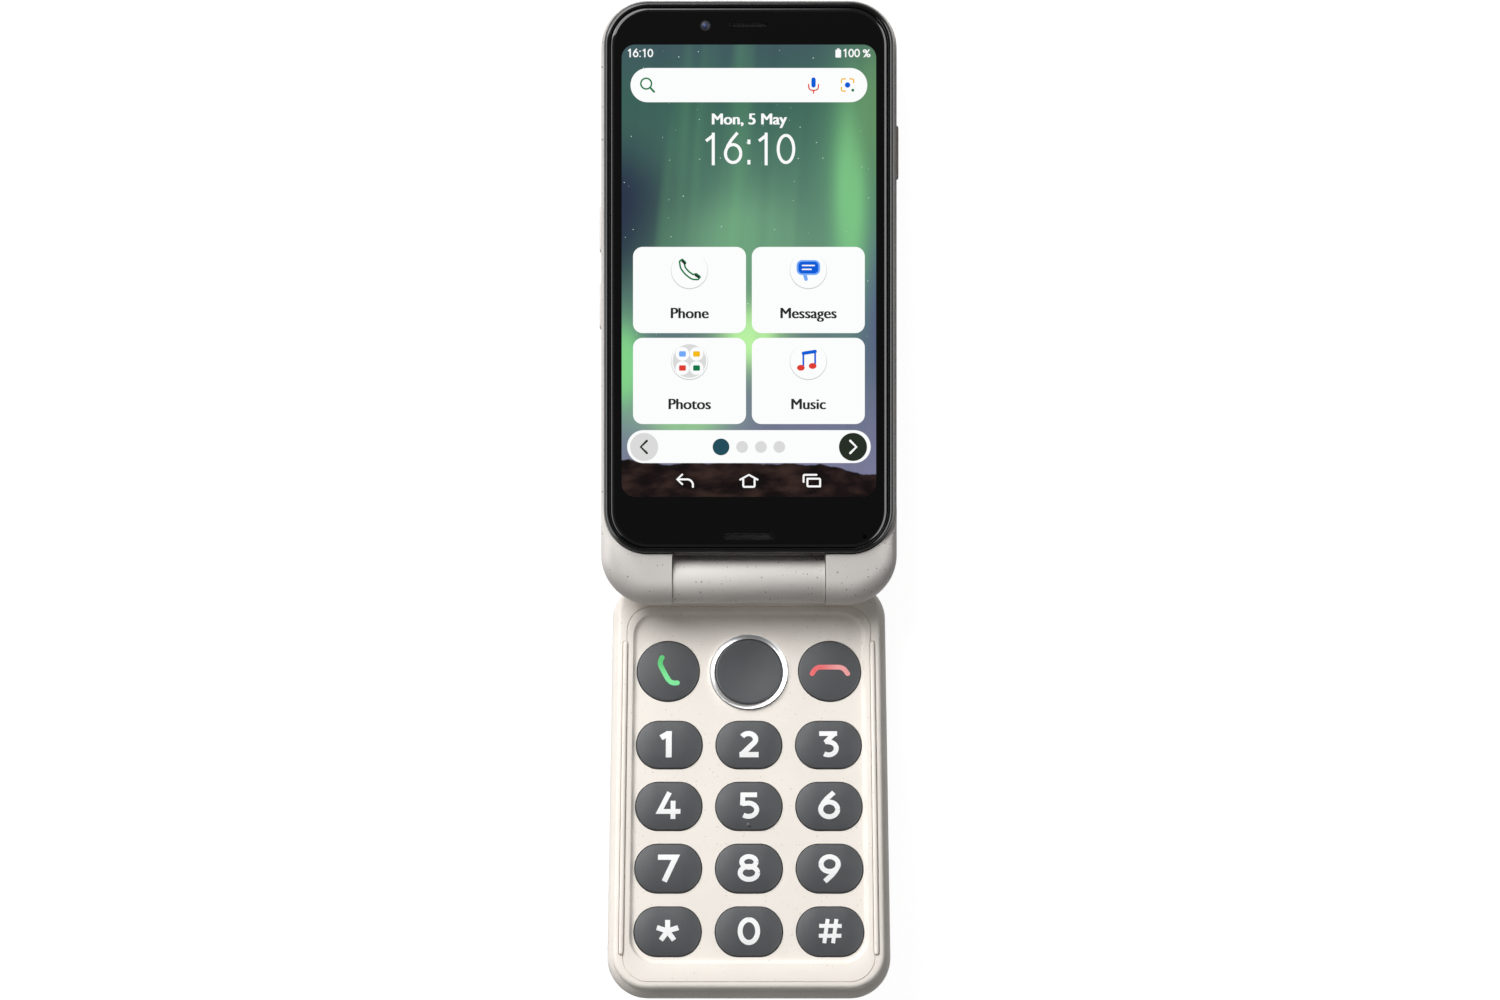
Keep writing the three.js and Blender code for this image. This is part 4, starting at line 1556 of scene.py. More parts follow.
@dataclass
class Picture(Assembly):
    """What the screen shows: northern lights with a home page of plain tiles."""

    half: ClassVar[Half] = Half.SCREEN
    face: float = 6.5
    layer: float = 0.012
    window: Outline = Outline(28.05, 18.5, 118.2, 2.9)
    column: float = 13.1
    rows: Point = (64.1, 44.05)
    tile: Point = (12.45, 9.5)

    WHITE = Print("lit_white", srgb(253, 254, 254), 1.03)
    INK = Print("lit_ink", srgb(38, 42, 42), 1.0)
    GREY = Print("lit_grey", srgb(222, 222, 222), 1.0)
    SHADE = Print("lit_shade", srgb(206, 210, 212), 1.0)
    GREEN = Print("lit_green", srgb(16, 122, 72), 1.0)
    BLUE = Print("lit_blue", srgb(10, 92, 218), 1.0)
    SKY = Print("lit_sky", srgb(116, 172, 252), 1.0)
    AMBER = Print("lit_amber", srgb(250, 190, 20), 1.0)
    RED = Print("lit_red", srgb(226, 62, 52), 1.0)
    TEAL = Print("lit_teal", srgb(34, 78, 92), 1.0)
    NIGHT = Print("lit_night", srgb(38, 46, 36), 1.0)

    def build(self) -> None:
        """Lays the picture's layers on the glass."""
        window = self.window
        sky = Aurora("lit_aurora", window.half_width, window.low, window.high - window.low)
        sheet = slab(window, self.face - 0.02, self.face + self.layer, segments=10)
        self.add("picture_background", sheet, sky, "display")
        self.panels()
        self.status()
        self.tiles()
        self.search_icons()
        self.pager()
        self.navigation()

    def height(self, layer: int) -> float:
        """Gives the height that a layer stands on."""
        return self.face + layer * self.layer

    def flat(self, shape: Shape, layer: int, segments: int = 10) -> Solid:
        """Makes a flat patch on a layer."""
        return slab(shape, self.height(layer), self.height(layer + 1), segments=segments)

    def line(self, points: Sequence[Point], width: float, layer: int, bend: float = 0.0) -> Solid:
        """Makes a line on a layer."""
        return stroke(points, width, self.height(layer), self.layer, bend)

    def words(self, text: str, height: float, centre: Point, layer: int, align: str = "CENTER") -> Solid:
        """Makes generic wording or figures on a layer, in bold by setting it three times over.

        Args:
            text: The wording.
            height: The letters' height.
            centre: The place that they are set at.
            layer: The layer that they are on.
            align: The side of the place that they run to.

        Returns:
            The letters.
        """
        solid = Solid()
        bold = 0.045 * height
        for shift in (-bold, 0, bold):
            place = (centre[0] + shift, centre[1])
            low = self.height(layer) + shift * 0.01
            solid.bm.from_mesh(lettering(text, height, place, low, self.layer, align))
        return solid

    def put(self, name: str, solids: Sequence[Solid], finish: Print) -> None:
        """Joins solids of one colour to a piece of the picture.

        Args:
            name: The piece's name.
            solids: What it is made of.
            finish: Its finish.
        """
        whole = Solid()
        for solid in solids:
            whole.bm.from_mesh(solid.mesh())
        self.add(f"picture_{name}", whole, finish, "display", smooth=False)

    def panels(self) -> None:
        """Makes the white panels: the search bar, the tiles and the page bar."""
        width, height = self.tile
        panels = [Outline(26.1, 105.5, 113.05, 3.75), Outline(26.85, 25.95, 33.2, 3.6)]
        panels += [Outline(width, y - height, y + height, 2.1, None, x)
                   for x in (-self.column, self.column) for y in self.rows]
        self.patch("panels", self.WHITE, 1, *panels)

    def status(self) -> None:
        """Makes the clock, the date and the battery's state."""
        bar = 116.35
        battery = self.flat(Outline(0.62, bar - 1.0, bar + 0.72, 0.15, None, 19.7), 1, 3)
        tip = self.flat(Outline(0.28, bar + 0.7, bar + 1.0, 0.05, None, 19.7), 1, 2)
        high = self.height(1)
        lines = [
            Figure.drawn("16:10", 1.9, 0.3, (-24.0, bar), high, self.layer, 0.8),
            Figure.drawn("100", 1.9, 0.3, (22.55, bar), high, self.layer, 0.8),
            self.words("%", 1.8, (26.8, bar), 1, "RIGHT"),
            self.words("Mon, 5 May", 2.55, (0, 101.9), 1),
            Figure.drawn("16:10", 7.3, 0.66, (0, 95.2), high, self.layer, 0.75),
            battery,
            tip,
        ]
        self.put("status", lines, self.WHITE)

    def tiles(self) -> None:
        """Makes the four tiles' names and signs."""
        names = [("Phone", -1, 0), ("Messages", 1, 0), ("Photos", -1, 1), ("Music", 1, 1)]
        label_drop = 5.0
        sign_rise = 4.4
        words, discs, shades = [], [], []
        for text, side, row in names:
            x = side * self.column
            y = self.rows[row]
            words.append(self.words(text, 2.45, (x, y - label_drop), 2))
            shades.append(self.flat(disc(x, y + sign_rise - 0.12, 4.1), 2, 12))
            discs.append(self.flat(disc(x, y + sign_rise, 4.0), 3, 12))
        self.put("tile_names", words, self.INK)
        self.put("sign_shades", shades, self.SHADE)
        self.put("sign_discs", discs, self.WHITE)
        high, low = (row + sign_rise for row in self.rows)
        self.handset(-self.column, high)
        self.bubble(self.column, high)
        self.album(-self.column, low)
        self.note(self.column, low)

    def sketch(self, name: str, finish: Print, place: Point, layer: int, width: float,
               *strokes: tuple) -> None:
        """Makes a piece of lines about a point.

        Args:
            name: The piece's name.
            finish: Its finish.
            place: The point.
            layer: The layer that it is on.
            width: The lines' width.
            strokes: Each line's bend, and then its corners from the point.
        """
        x, y = place
        lines = [self.line([(x + a, y + b) for a, b in path], width, layer, bend) for bend, *path in strokes]
        self.put(name, lines, finish)

    def patch(self, name: str, finish: Print, layer: int, *shapes: Shape, segments: int = 10) -> None:
        """Makes a piece of flat patches on a layer.

        Args:
            name: The piece's name.
            finish: Its finish.
            layer: The layer that it is on.
            shapes: The patches' outlines.
            segments: The segments round each corner.
        """
        self.put(name, [self.flat(shape, layer, segments) for shape in shapes], finish)

    def handset(self, x: float, y: float) -> None:
        """Makes the telephone sign: an outlined handset.

        Args:
            x, y: The sign's middle.
        """
        self.sketch("handset_line", self.GREEN, (x, y), 4, 0.36,
                    (0.6, (-2.2, 1.9), (-2.0, 0.4), (-0.9, -1.0), (0.6, -2.1), (1.9, -2.1)),
                    (0.3, (-1.1, 1.2), (-0.9, 0.5), (-0.1, -0.4), (0.8, -1.0)),
                    (0.2, (-2.2, 1.9), (-1.6, 2.4), (-0.8, 1.6), (-1.1, 1.2)),
                    (0.2, (1.9, -2.1), (2.4, -1.5), (1.5, -0.8), (0.8, -1.0)))
        self.sketch("handset_pads", self.INK, (x, y), 5, 0.5,
                    (0.0, (-1.55, 1.95), (-1.1, 1.5)), (0.0, (1.35, -1.15), (1.95, -1.55)))

    def bubble(self, x: float, y: float) -> None:
        """Makes the message sign: a speech bubble with two written lines.

        Args:
            x, y: The sign's middle.
        """
        back = self.flat(Outline(2.6, y - 1.1, y + 2.2, 1.2, None, x), 4)
        tail = self.line([(x - 0.9, y - 0.6), (x - 0.5, y - 2.0)], 0.8, 4)
        self.put("bubble_back", [back, tail], self.SKY)
        self.patch("bubble_front", self.BLUE, 5, Outline(2.2, y - 0.75, y + 1.85, 0.9, None, x))
        self.sketch("bubble_text", self.WHITE, (x, y), 6, 0.3,
                    (0.0, (-1.3, 1.0), (1.3, 1.0)), (0.0, (-1.3, 0.15), (0.6, 0.15)))

    def album(self, x: float, y: float) -> None:
        """Makes the photo sign: four small cards on a grey disc.

        Args:
            x, y: The sign's middle.
        """
        step = 1.55
        self.patch("album_disc", self.GREY, 4, disc(x, y, 3.7), segments=12)
        self.patch("album_cards", self.WHITE, 5,
                   *(disc(x + a * step, y + b * step, 1.5) for a in (-1, 1) for b in (-1, 1)))
        signs = [(-1, 1, self.SKY), (1, 1, self.AMBER), (-1, -1, self.RED), (1, -1, self.GREEN)]
        for index, (a, b, finish) in enumerate(signs):
            middle = y + b * step
            card = Outline(0.75, middle - 0.6, middle + 0.6, 0.25, None, x + a * step)
            self.patch(f"album_card_{index + 1}", finish, 6, card, segments=4)

    def note(self, x: float, y: float) -> None:
        """Makes the music sign: two joined notes.

        Args:
            x, y: The sign's middle.
        """
        stems = [((-1.1, -1.5), (-1.1, 1.7), 0.4), ((1.5, -1.1), (1.5, 2.1), 0.4),
                 ((-1.1, 1.7), (1.5, 2.1), 0.75)]
        lines = [self.line([(x + a, y + b), (x + c, y + d)], width, 4) for (a, b), (c, d), width in stems]
        self.put("note_stems", lines, self.BLUE)
        self.patch("note_heads", self.RED, 5,
                   *(Oval(x + a, y + b, 0.85, 0.65, 0.85) for a, b in ((-1.65, -1.5), (0.95, -1.1))))

    def search_icons(self) -> None:
        """Makes the magnifier, the microphone and the camera in the search bar."""
        y = 109.3
        x = -22.4
        ring = [(radius, self.height(layer)) for radius, layer in ((1.0, 2), (1.35, 2), (1.35, 3), (1.0, 3))]
        glass = Solid().spun(ring, (x - 0.25, y + 0.3), 40)
        grip = self.line([(x + 0.75, y - 0.7), (x + 1.5, y - 1.5)], 0.45, 2)
        self.put("magnifier", [glass, grip], self.GREEN)
        place = (14.25, y)
        self.sketch("microphone", self.BLUE, place, 2, 0.95, (0.0, (0, -0.1), (0, 1.2)))
        self.sketch("microphone_cradle", self.RED, place, 2, 0.28,
                    (0.5, (-1.1, 0.1), (-1.0, -1.0), (0, -1.25), (1.0, -1.0), (1.1, 0.1)),
                    (0.0, (0, -1.2), (0, -1.8)))
        x = 21.75
        corners = [(0.45, (a * 1.35, b * 0.5), (a * 1.35, b * 1.35), (a * 0.5, b * 1.35))
                   for a, b in ((-1, 1), (1, 1), (-1, -1))]
        self.sketch("camera_corners", self.AMBER, (x, y), 2, 0.3, *corners)
        self.patch("camera_dot", self.BLUE, 2, disc(x, y, 0.6), segments=6)
        self.patch("camera_spot", self.GREEN, 2, disc(x + 1.15, y - 1.15, 0.32), segments=6)

    def pager(self) -> None:
        """Makes the page bar's arrows and dots."""
        y = 29.5
        left, right = -23.1, 22.95
        button, arm = 3.1, 1.35
        self.patch("page_back", self.GREY, 2, disc(left, y, button), segments=12)
        self.patch("page_next", self.NIGHT, 2, disc(right, y, button), segments=12)
        self.patch("page_now", self.TEAL, 2, disc(-6.15, y, 1.85))
        self.patch("page_others", self.GREY, 2, *(disc(x, y, 1.3) for x in (-1.5, 2.65, 6.7)))
        self.sketch("arrow_back", self.NIGHT, (left, y), 3, 0.5,
                    (0.0, (0.6, arm), (-0.75, 0), (0.6, -arm)))
        self.sketch("arrow_next", self.WHITE, (right, y), 3, 0.5,
                    (0.0, (-0.6, arm), (0.75, 0), (-0.6, -arm)))

    def navigation(self) -> None:
        """Makes the back, home and recent signs along the bottom."""
        y = 22.0
        strokes = [
            (-14.1, 0.0, (-0.6, 1.4), (-1.75, 0.35), (-0.6, -0.7)),
            (-14.1, 0.5, (-1.6, 0.35), (1.0, 0.35), (1.75, -0.4), (1.75, -1.3)),
            (0.0, 0.0, (-1.9, 0.3), (0, 1.35), (1.9, 0.3)),
            (0.0, 0.3, (-1.25, 0.3), (-1.25, -1.3), (1.25, -1.3), (1.25, 0.3)),
            (13.9, 0.25, (-1.0, 0.5), (-1.0, -1.2), (1.8, -1.2)),
            (13.9, 0.25, (-1.0, 0.5), (1.8, 0.5), (1.8, -1.2)),
            (13.9, 0.3, (1.0, 1.35), (-1.85, 1.35), (-1.85, -0.2)),
        ]
        lines = [self.line([(x + a, y + b) for a, b in path], 0.42, 1, bend) for x, bend, *path in strokes]
        self.put("navigation", lines, self.WHITE)


# ------------------------------------------------------------------------------------------ keypad half


class Mark(Enum):
    """The printed signs on the round keys, as lines in a key's own millimetres."""

    CALL = ((-1.4, 3.0), (-2.0, 1.7), (-0.15, -1.9), (0.75, -3.0), (2.05, -2.85))
    END = ((-3.9, -0.7), (-3.0, 0.75), (2.95, 0.75), (4.0, -0.7))


@dataclass(frozen=True)
class Sign:
    """Printed ink that fades from one colour to another along a key."""

    name: str
    start: Colour
    end: Colour
    low: float
    high: float
    across: bool = False

    def build(self) -> bpy.types.Material:
        """Makes the material.

        Returns:
            The material.
        """
        shader = Shader(self.name)
        place = shader.place(Half.KEYPAD)
        x, y, _ = shader.split(place)
        way = x if self.across else y
        grain = shader.noise(place, 7.0, 2)
        colour = shader.mix(way.step(self.low, self.high), self.start, self.end)
        colour = shader.mix(grain.step(0.4, 0.8) * 0.15, colour, (1.0, 1.0, 1.0))
        return shader.surface(Base_Color=colour, Roughness=0.35 + 0.1 * grain)


@dataclass
class KeypadHalf(Assembly):
    """The narrow half: shell, front cover with its basin, keys, trim and barrel."""

    half: ClassVar[Half] = Half.KEYPAD
    rim: float = -7.3
    floor: float = -8.2
    parting: float = -9.1
    back: float = -14.67
    cover_edge: float = 1.0
    groove: Outline = Outline(27.25, -88.3, -4.0, 5.5)
    basin: Outline = Outline(25.75, -84.15, -5.3, 5.5)
    key_flange: float = 0.7
    corners: int = 14

    WHITE = Print("key_print", srgb(250, 250, 250))

    def __post_init__(self) -> None:
        """Takes the outlines from the CAD nodes."""
        low, high = self.box("keypad_rear_shell")
        self.shell_shape = Outline(high.x, low.y, high.y, 9.0).grown(-0.03)
        low, high = self.box("keypad_frame")
        self.cover_shape = Outline(high.x, low.y, high.y, 7.7)

    def build(self) -> None:
        """Makes every piece of the half."""
        self.shell()
        self.cover()
        self.bumpers()
        self.barrel()
        self.screws()
        self.trim()
        self.navigation_key()
        self.number_keys()
        self.round_keys()

    def shell(self) -> None:
        """Makes the back shell, whose walls lean out below the parting line."""
        shape = self.shell_shape
        edge = 2.5
        lean = 1.3
        top = self.parting - 0.3
        steps = 8
        rings = []
        for step in range(steps + 1):
            angle = QUARTER * step / steps
            height = self.back + edge * (1 - math.cos(angle))
            rings.append((shape.grown(edge * (math.sin(angle) - 1)), height))
        rings += [(shape.grown(-lean * 0.35), top - 1.3), (shape.grown(-lean + 0.1), top - 0.12),
                  (shape.grown(-lean), top), (shape.grown(-lean - 1.0), top),
                  (shape.grown(-lean - 1.3), top - 0.2), (shape.grown(-lean - 1.3), self.back + 1.3)]
        wells = [slab(disc(x, y, 1.7), self.back - 1, self.back + 0.9, segments=10)
                 for x, y in self.screw_places()]
        shell = Solid().stack(rings, self.corners).cut(*wells)
        self.add("keypad_shell", shell, Finishes.BASE, "stone_plastic", "keypad_rear_shell")

    def screw_places(self) -> list[Point]:
        """Gives the middles of the screws in the back."""
        return [self.middle(f"keypad_screw_{number}") for number in range(1, 5)]

    def cover(self) -> None:
        """Makes the front cover: rounded edge, parting groove, basin and key holes."""
        shape = self.cover_shape
        groove = self.groove
        basin = self.basin
        rings = [(shape, self.parting), *rounding(shape, self.rim, self.cover_edge, self.cover_edge, 6)]
        across = ((0.11, 0.0), (0.07, 0.04), (0.05, 0.32), (-0.05, 0.32), (-0.07, 0.04), (-0.11, 0.0))
        rings += [(groove.grown(margin), self.rim - depth) for margin, depth in across]
        drop = self.rim - self.floor
        rings += [(basin.grown(0.25), self.rim), (basin.grown(0.1), self.rim - 0.06),
                  (basin, self.rim - 0.2), (basin.grown(-0.3), self.rim - 0.75 * drop),
                  (basin.grown(-0.5), self.floor + 0.06), (basin.grown(-0.8), self.floor)]
        below, above = self.parting - 1, self.rim + 1
        holes = [slab(disc(0, self.middle("nav_key")[1], 8.8), below, above, segments=24),
                 Solid().block((-16.9, -3.2, below), (16.9, 1.5, above))]
        for node in self.number_nodes():
            holes.append(slab(self.oval(node).grown(0.2), below, above, segments=self.corners))
        for node in ("call_key", "end_key"):
            holes.append(slab(disc(*self.middle(node), 7.1), below, above, segments=20))
        for node in ("left_bumper", "right_bumper"):
            holes.append(slab(self.strip(node).grown(0.15), self.rim - 0.5, above, segments=8))
        cover = Solid().stack(rings, self.corners).cut(*holes)
        self.add("keypad_cover", cover, Finishes.BASE, "stone_plastic", "keypad_frame")

    @staticmethod
    def number_nodes() -> list[str]:
        """Lists the number keys' CAD nodes in reading order."""
        return [f"key_{label}" for label in (*"123456789", "star", "0", "hash")]

    def oval(self, node: str) -> Oval:
        """Gives a number key's outline, from its CAD node without the flange.

        Args:
            node: The key's CAD node.

        Returns:
            The outline.
        """
        low, high = self.box(node)
        half_width = (high.x - low.x) / 2 - self.key_flange
        half_height = (high.y - low.y) / 2 - self.key_flange
        return Oval(*self.middle(node), half_width, half_height, half_height - 0.45)

    def cap(self, shape: Oval, top: float, segments: int) -> Solid:
        """Makes a key cap: upright sides, a small rounding and a low dome.

        Args:
            shape: The outline.
            top: The dome's highest point.
            segments: Steps in each quarter turn.

        Returns:
            The cap.
        """
        foot = self.parting - 0.3
        crown = 0.4
        edge = 0.26
        flange = shape.grown(self.key_flange)
        rings = [(flange, foot - 0.5), (flange, foot), (shape, foot)]
        rings += rounding(shape, top - crown, edge, edge, 5)[:-1]
        depth = shape.reach - 0.1
        for step in range(9):
            share = step / 8
            inset = edge + (depth - edge) * share
            rings.append((shape.grown(-inset), top - crown * (1 - share) ** 2))
        return Solid().stack(rings, segments)

    def number_keys(self) -> None:
        """Makes the twelve number keys and their figures."""
        height = 6.05
        for node in self.number_nodes():
            x, y = self.middle(node)
            top = self.box(node)[1].z
            cap = self.cap(self.oval(node), top, self.corners)
            surface = cap.closed().surface()
            self.add(f"{node}_cap", cap, Finishes.KEY, "key_plastic", node, body=node)
            label = {"star": "*", "hash": "#"}.get(node[4:], node[4:])
            weight = {"#": 0.85, "*": 1.1, "1": 1.3, "2": 1.18, "7": 1.18}.get(label, 1.08)
            shift = -0.45 if label == "1" else 0.0
            figure = Figure.drawn(label, height, weight, (x + shift, y)).mesh()
            self.add(f"{node}_figure", drape(figure, surface), self.WHITE, "key_plastic", body=node,
                     smooth=False)
            if label == "5":
                self.pip(node, surface, (x, y - 4.15))

    def pip(self, node: str, surface: BVHTree, place: Point) -> None:
        """Makes the raised dot that a finger finds on the middle key.

        Args:
            node: The key's CAD node.
            surface: The key's surface.
            place: The dot's place.
        """
        base = surface.ray_cast(Vector((*place, 0)), Vector((0, 0, -1)))[0].z
        radius = 0.52
        rise = 0.22
        profile = [(0, base - 0.1), (radius, base - 0.1), (radius, base), (radius * 0.8, base + rise * 0.55),
                   (radius * 0.45, base + rise * 0.9), (0, base + rise)]
        dot = Solid().spun(profile, place, 32)
        self.add(f"{node}_pip", dot, Finishes.KEY, "key_plastic", body=node)

    def round_keys(self) -> None:
        """Makes the call and end keys with their signs."""
        width = 1.12
        signs = {"call_key": (Mark.CALL, srgb(34, 196, 88), srgb(118, 238, 152)),
                 "end_key": (Mark.END, srgb(238, 84, 88), srgb(250, 160, 160))}
        for node, (mark, start, end) in signs.items():
            x, y = self.middle(node)
            low, high = self.box(node)
            shape = disc(x, y, (high.x - low.x) / 2 - self.key_flange)
            cap = self.cap(shape, high.z, 22)
            surface = cap.closed().surface()
            self.add(f"{node}_cap", cap, Finishes.KEY, "key_plastic", node, body=node)
            line = stroke([(x + a, y + b) for a, b in mark.value], width, 0, 0.03, 1.0).mesh()
            reach = 2.6
            ink = Sign(f"{node}_ink", start, end, y + reach, y - reach) if mark is Mark.CALL else Sign(
                f"{node}_ink", start, end, x - reach, x + reach, True)
            self.add(f"{node}_sign", drape(line, surface), ink, "key_plastic", body=node, smooth=False)

    def navigation_key(self) -> None:
        """Makes the dished navigation key."""
        low, high = self.box("nav_key")
        radius = (high.x - low.x) / 2
        top = high.z
        dish = 0.3
        profile = [(0, low.z), (radius - 0.1, low.z), (radius, low.z + 0.1), (radius, top - 0.22),
                   (radius - 0.08, top - 0.08), (radius - 0.26, top)]
        bowl = radius - 0.5
        for step in range(12):
            share = step / 12
            profile.append((bowl * (1 - share), top - 0.02 - dish * math.sin(QUARTER * share) ** 1.2))
        profile.append((0, top - 0.02 - dish))
        key = Solid().spun(profile, self.middle("nav_key"))
        self.add("nav_key_cap", key, Finishes.KEY, "key_plastic", "nav_key", body="nav_key")

    def trim(self) -> None:
        """Makes the bright ring round the navigation key."""
        low, high = self.box("nav_ring")
        inner, outer = 7.62, 8.64
        top = high.z
        profile = [(inner, low.z), (outer + 0.8, low.z), (outer + 0.8, low.z + 0.4), (outer, low.z + 0.4),
                   (outer, top - 0.05), (outer - 0.04, top), (outer - 0.1, top), (inner + 0.04, top - 0.3),
                   (inner, top - 0.36)]
        ring = Solid().spun(profile, self.middle("nav_ring"), 128)
        self.add("nav_ring_trim", ring, Finishes.CHROME, "ring_metal", "nav_ring")

    def strip(self, node: str) -> Outline:
        """Gives a bumper's outline.

        Args:
            node: The bumper's CAD node.

        Returns:
            The outline.
        """
        low, high = self.box(node)
        half_width = (high.x - low.x) / 2
        return Outline(half_width, low.y, high.y, half_width - 0.02, None, self.middle(node)[0])

    def bumpers(self) -> None:
        """Makes the two strips that keep the keys off the glass."""
        for node in ("left_bumper", "right_bumper"):
            low, high = self.box(node)
            strip = slab(self.strip(node), low.z, high.z, 0.45, 8, 6)
            self.add(f"{node}_strip", strip, Finishes.BASE, "stone_plastic", node)

    def barrel(self) -> None:
        """Makes the hinge barrel with the neck that joins it to the cover."""
        low, high = self.box("hinge_barrel")
        radius = high.z
        front, rear = 0.6, -3.0
        start = math.atan2(-math.sqrt(radius ** 2 - front ** 2), front)
        end = math.atan2(-math.sqrt(radius ** 2 - rear ** 2), rear) + 2 * math.pi
        steps = 72
        angles = [start + (end - start) * step / steps for step in range(steps + 1)]
        curve = [(radius * math.cos(angle), radius * math.sin(angle)) for angle in angles]
        points = [(front, low.z), *curve, (rear, low.z)]
        reach = high.x + 0.17
        solid = extruded(points, -reach, reach)
        rims = [edge for edge in solid.bm.edges if abs(edge.verts[0].co.x - edge.verts[1].co.x) < 1e-4]
        bmesh.ops.bevel(solid.bm, geom=rims, offset=0.1, segments=2, profile=0.5, affect="EDGES",
                        material=-1)
        barrel = solid.cut(rod(3.9, -reach - 1, reach + 1, 0.01, 48))
        self.add("barrel", barrel, Finishes.BARREL, "stone_plastic", "hinge_barrel")

    def screws(self) -> None:
        """Makes the screw heads in the back, each with a cross recess."""
        for index, (x, y) in enumerate(self.screw_places()):
            node = f"keypad_screw_{index + 1}"
            low, high = self.box(node)
            top = -low.z
            head = slab(disc(-x, y, 1.5), -high.z, top, 0.2, 10, 3)
            cross = [Solid().block((-x - a, y - b, top - 0.35), (-x + a, y + b, top + 1))
                     for a, b in ((0.8, 0.17), (0.17, 0.8))]
            head = head.cut(*cross).turned(Matrix.Rotation(math.pi, 4, "Y"))
            self.add(f"{node}_head", head, Finishes.STEEL, "steel", node)


# ----------------------------------------------------------------------------------------- hidden parts


def dress_inner_parts(shop: Workshop) -> None:
    """Gives the CAD nodes that stay their materials.

    Args:
        shop: The workshop that keeps the materials.
    """
    finishes = {
        Finishes.STEEL: "mid_plate shield_can sim_socket vibration_motor earpiece loudspeaker hinge_cam_pin "
                        "hinge_plain_pin hinge_cartridge hinge_bush closing_magnet",
        Finishes.BOARD: "main_board keypad_board",
        Finishes.WRAP: "battery display_panel microphone",
        Finishes.RUBBER: "keypad_mat nav_plunger nav_carrier",
        Finishes.FILM: "dome_sheet hinge_flex flash_lamp",
        Finishes.LENS: "rear_camera front_camera",
    }
    for finish, nodes in finishes.items():
        for node in nodes.split():
            shop.dress(node, finish)


# ----------------------------------------------------------------------------------------------- studio


@dataclass(frozen=True)
class Lamp:
    """A soft square light that faces the phone."""

    name: str
    place: tuple[float, float, float]
    width: float
    height: float
    power: float
    lights_matt: bool

    def hang(self) -> None:
        """Puts it in the studio."""
        data = bpy.data.lights.new(self.name, "AREA")
        data.shape = "RECTANGLE"
        data.size = self.width
        data.size_y = self.height
        data.energy = self.power
        lamp = bpy.data.objects.new(self.name, data)
        back = Vector(self.place).normalized()
        right = Vector((0, 1, 0)).cross(back).normalized()
        turn = Matrix((right, back.cross(right), back)).transposed().to_4x4()
        lamp.matrix_world = Matrix.Translation(self.place) @ turn
        lamp.visible_diffuse = self.lights_matt
        bpy.context.scene.collection.objects.link(lamp)


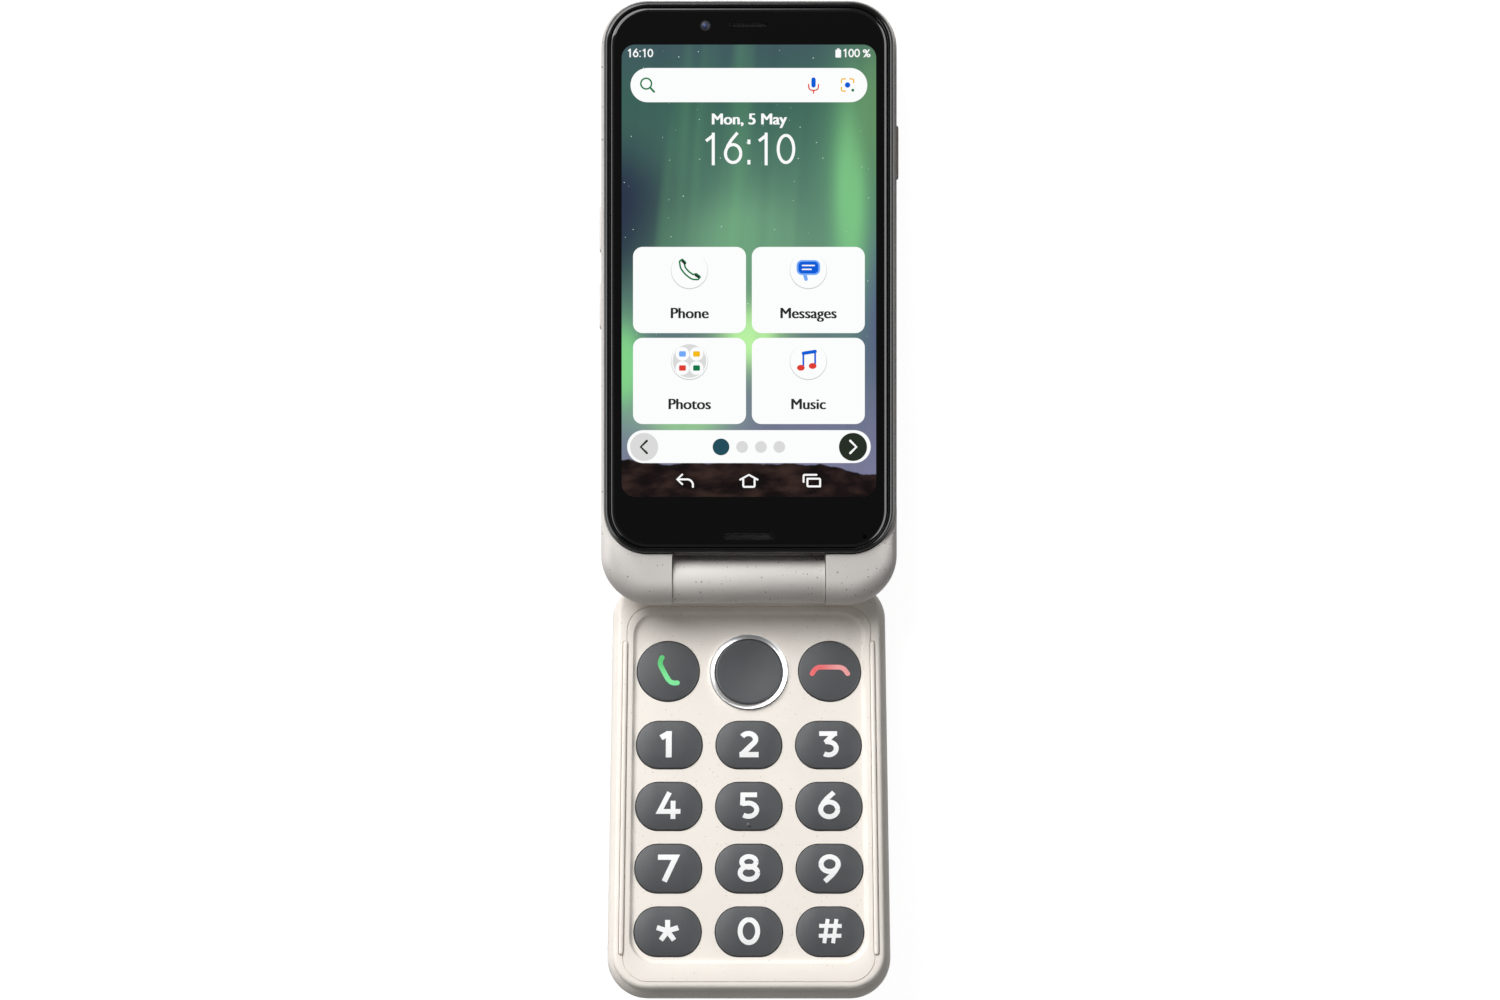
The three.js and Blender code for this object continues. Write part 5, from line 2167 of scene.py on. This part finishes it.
@dataclass
class Studio:
    """The pale table, the soft lights and the camera that looks straight at the screen."""

    distance: float = 635.0
    focal: float = 69.12
    aim: Point = (0.24, 17.8)
    glass: float = 6.5
    room: tuple[float, float, float] = (0.2, 0.03, 0.14)

    def build(self) -> None:
        """Sets everything up."""
        self.floor()
        self.camera()
        self.lights()
        self.world()
        bpy.context.scene.view_settings.view_transform = "Standard"

    def floor(self) -> None:
        """Lays the table under the phone."""
        low, _ = (Vector(corner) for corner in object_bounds())
        solid = Solid()
        bmesh.ops.create_grid(solid.bm, x_segments=8, y_segments=8, size=3.0)
        solid.turned(Matrix.Translation((0, 0, low.z - 0.0002)))
        mesh = bpy.data.meshes.new("table")
        solid.bm.to_mesh(mesh)
        solid.bm.free()
        shader = Shader("pale_table")
        grain = shader.noise(shader.place(), 0.02, 2)
        colour = shader.mix(grain, (0.3, 0.3, 0.3), (0.32, 0.32, 0.32))
        mesh.materials.append(shader.surface(Base_Color=colour, Roughness=0.8, Emission_Strength=0.9,
                                             Emission_Color=(1.0, 1.0, 1.0)))
        table = bpy.data.objects.new("table", mesh)
        table.visible_diffuse = False
        bpy.context.scene.collection.objects.link(table)
        table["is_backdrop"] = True

    def camera(self) -> None:
        """Stands the camera square to the screen."""
        data = bpy.data.cameras.new("camera")
        data.sensor_width = 36
        data.lens = self.focal
        data.clip_start = 0.01
        camera = bpy.data.objects.new("camera", data)
        place = Half.SCREEN.matrix @ Vector((*self.aim, self.glass + self.distance))
        turn = Half.SCREEN.matrix.to_quaternion().to_matrix().to_4x4()
        camera.matrix_world = Matrix.Translation(place) @ turn
        bpy.context.scene.collection.objects.link(camera)
        bpy.context.scene.camera = camera

    def lights(self) -> None:
        """Hangs the soft lights: one large one, and strips that only show in polished faces."""
        lamps = [Lamp("key_light", (-0.58, 0.92, 0.55), 1.1, 1.1, 22.5, True),
                 Lamp("right_strip", (0.74, 0.02, 0.68), 0.55, 1.5, 13.0, False),
                 Lamp("left_strip", (-1.00, 0.00, 0.45), 0.60, 1.6, 13.0, False)]
        for lamp in lamps:
            lamp.hang()

    def world(self) -> None:
        """Fills the room with soft white light, darker straight above the glass."""
        world = bpy.data.worlds.new("room")
        world.use_nodes = True
        shader = Shader("room", world.node_tree)
        way = shader.node("ShaderNodeTexCoord").outputs["Generated"]
        above = tuple(Half.SCREEN.matrix.to_3x3().col[2].normalized())
        level = shader.value("ShaderNodeVectorMath", {"operation": "DOT_PRODUCT"}, {0: way, 1: above},
                             "Value")
        bright, dark, under = self.room
        rise = shader.split(Value(shader, way))[2]
        strength = under + (bright - under) * rise.step(-0.1, 0.1) + (dark - bright) * level.step(0.86, 0.96)
        inputs = {"Color": (1.0, 1.0, 1.0), "Strength": strength}
        background = shader.node("ShaderNodeBackground", inputs=inputs)
        shader.tree.links.new(background.outputs[0], shader.output.inputs["Surface"])
        bpy.context.scene.world = world


def main() -> None:
    """Builds the phone and its studio, in order."""
    logging.basicConfig(level=logging.INFO, format="%(message)s", stream=sys.stdout)
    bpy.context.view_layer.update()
    shop = Workshop()
    Studio().build()
    ScreenHalf(shop).build()
    Picture(shop).build()
    KeypadHalf(shop).build()
    dress_inner_parts(shop)


if __name__ == "__main__":
    main()
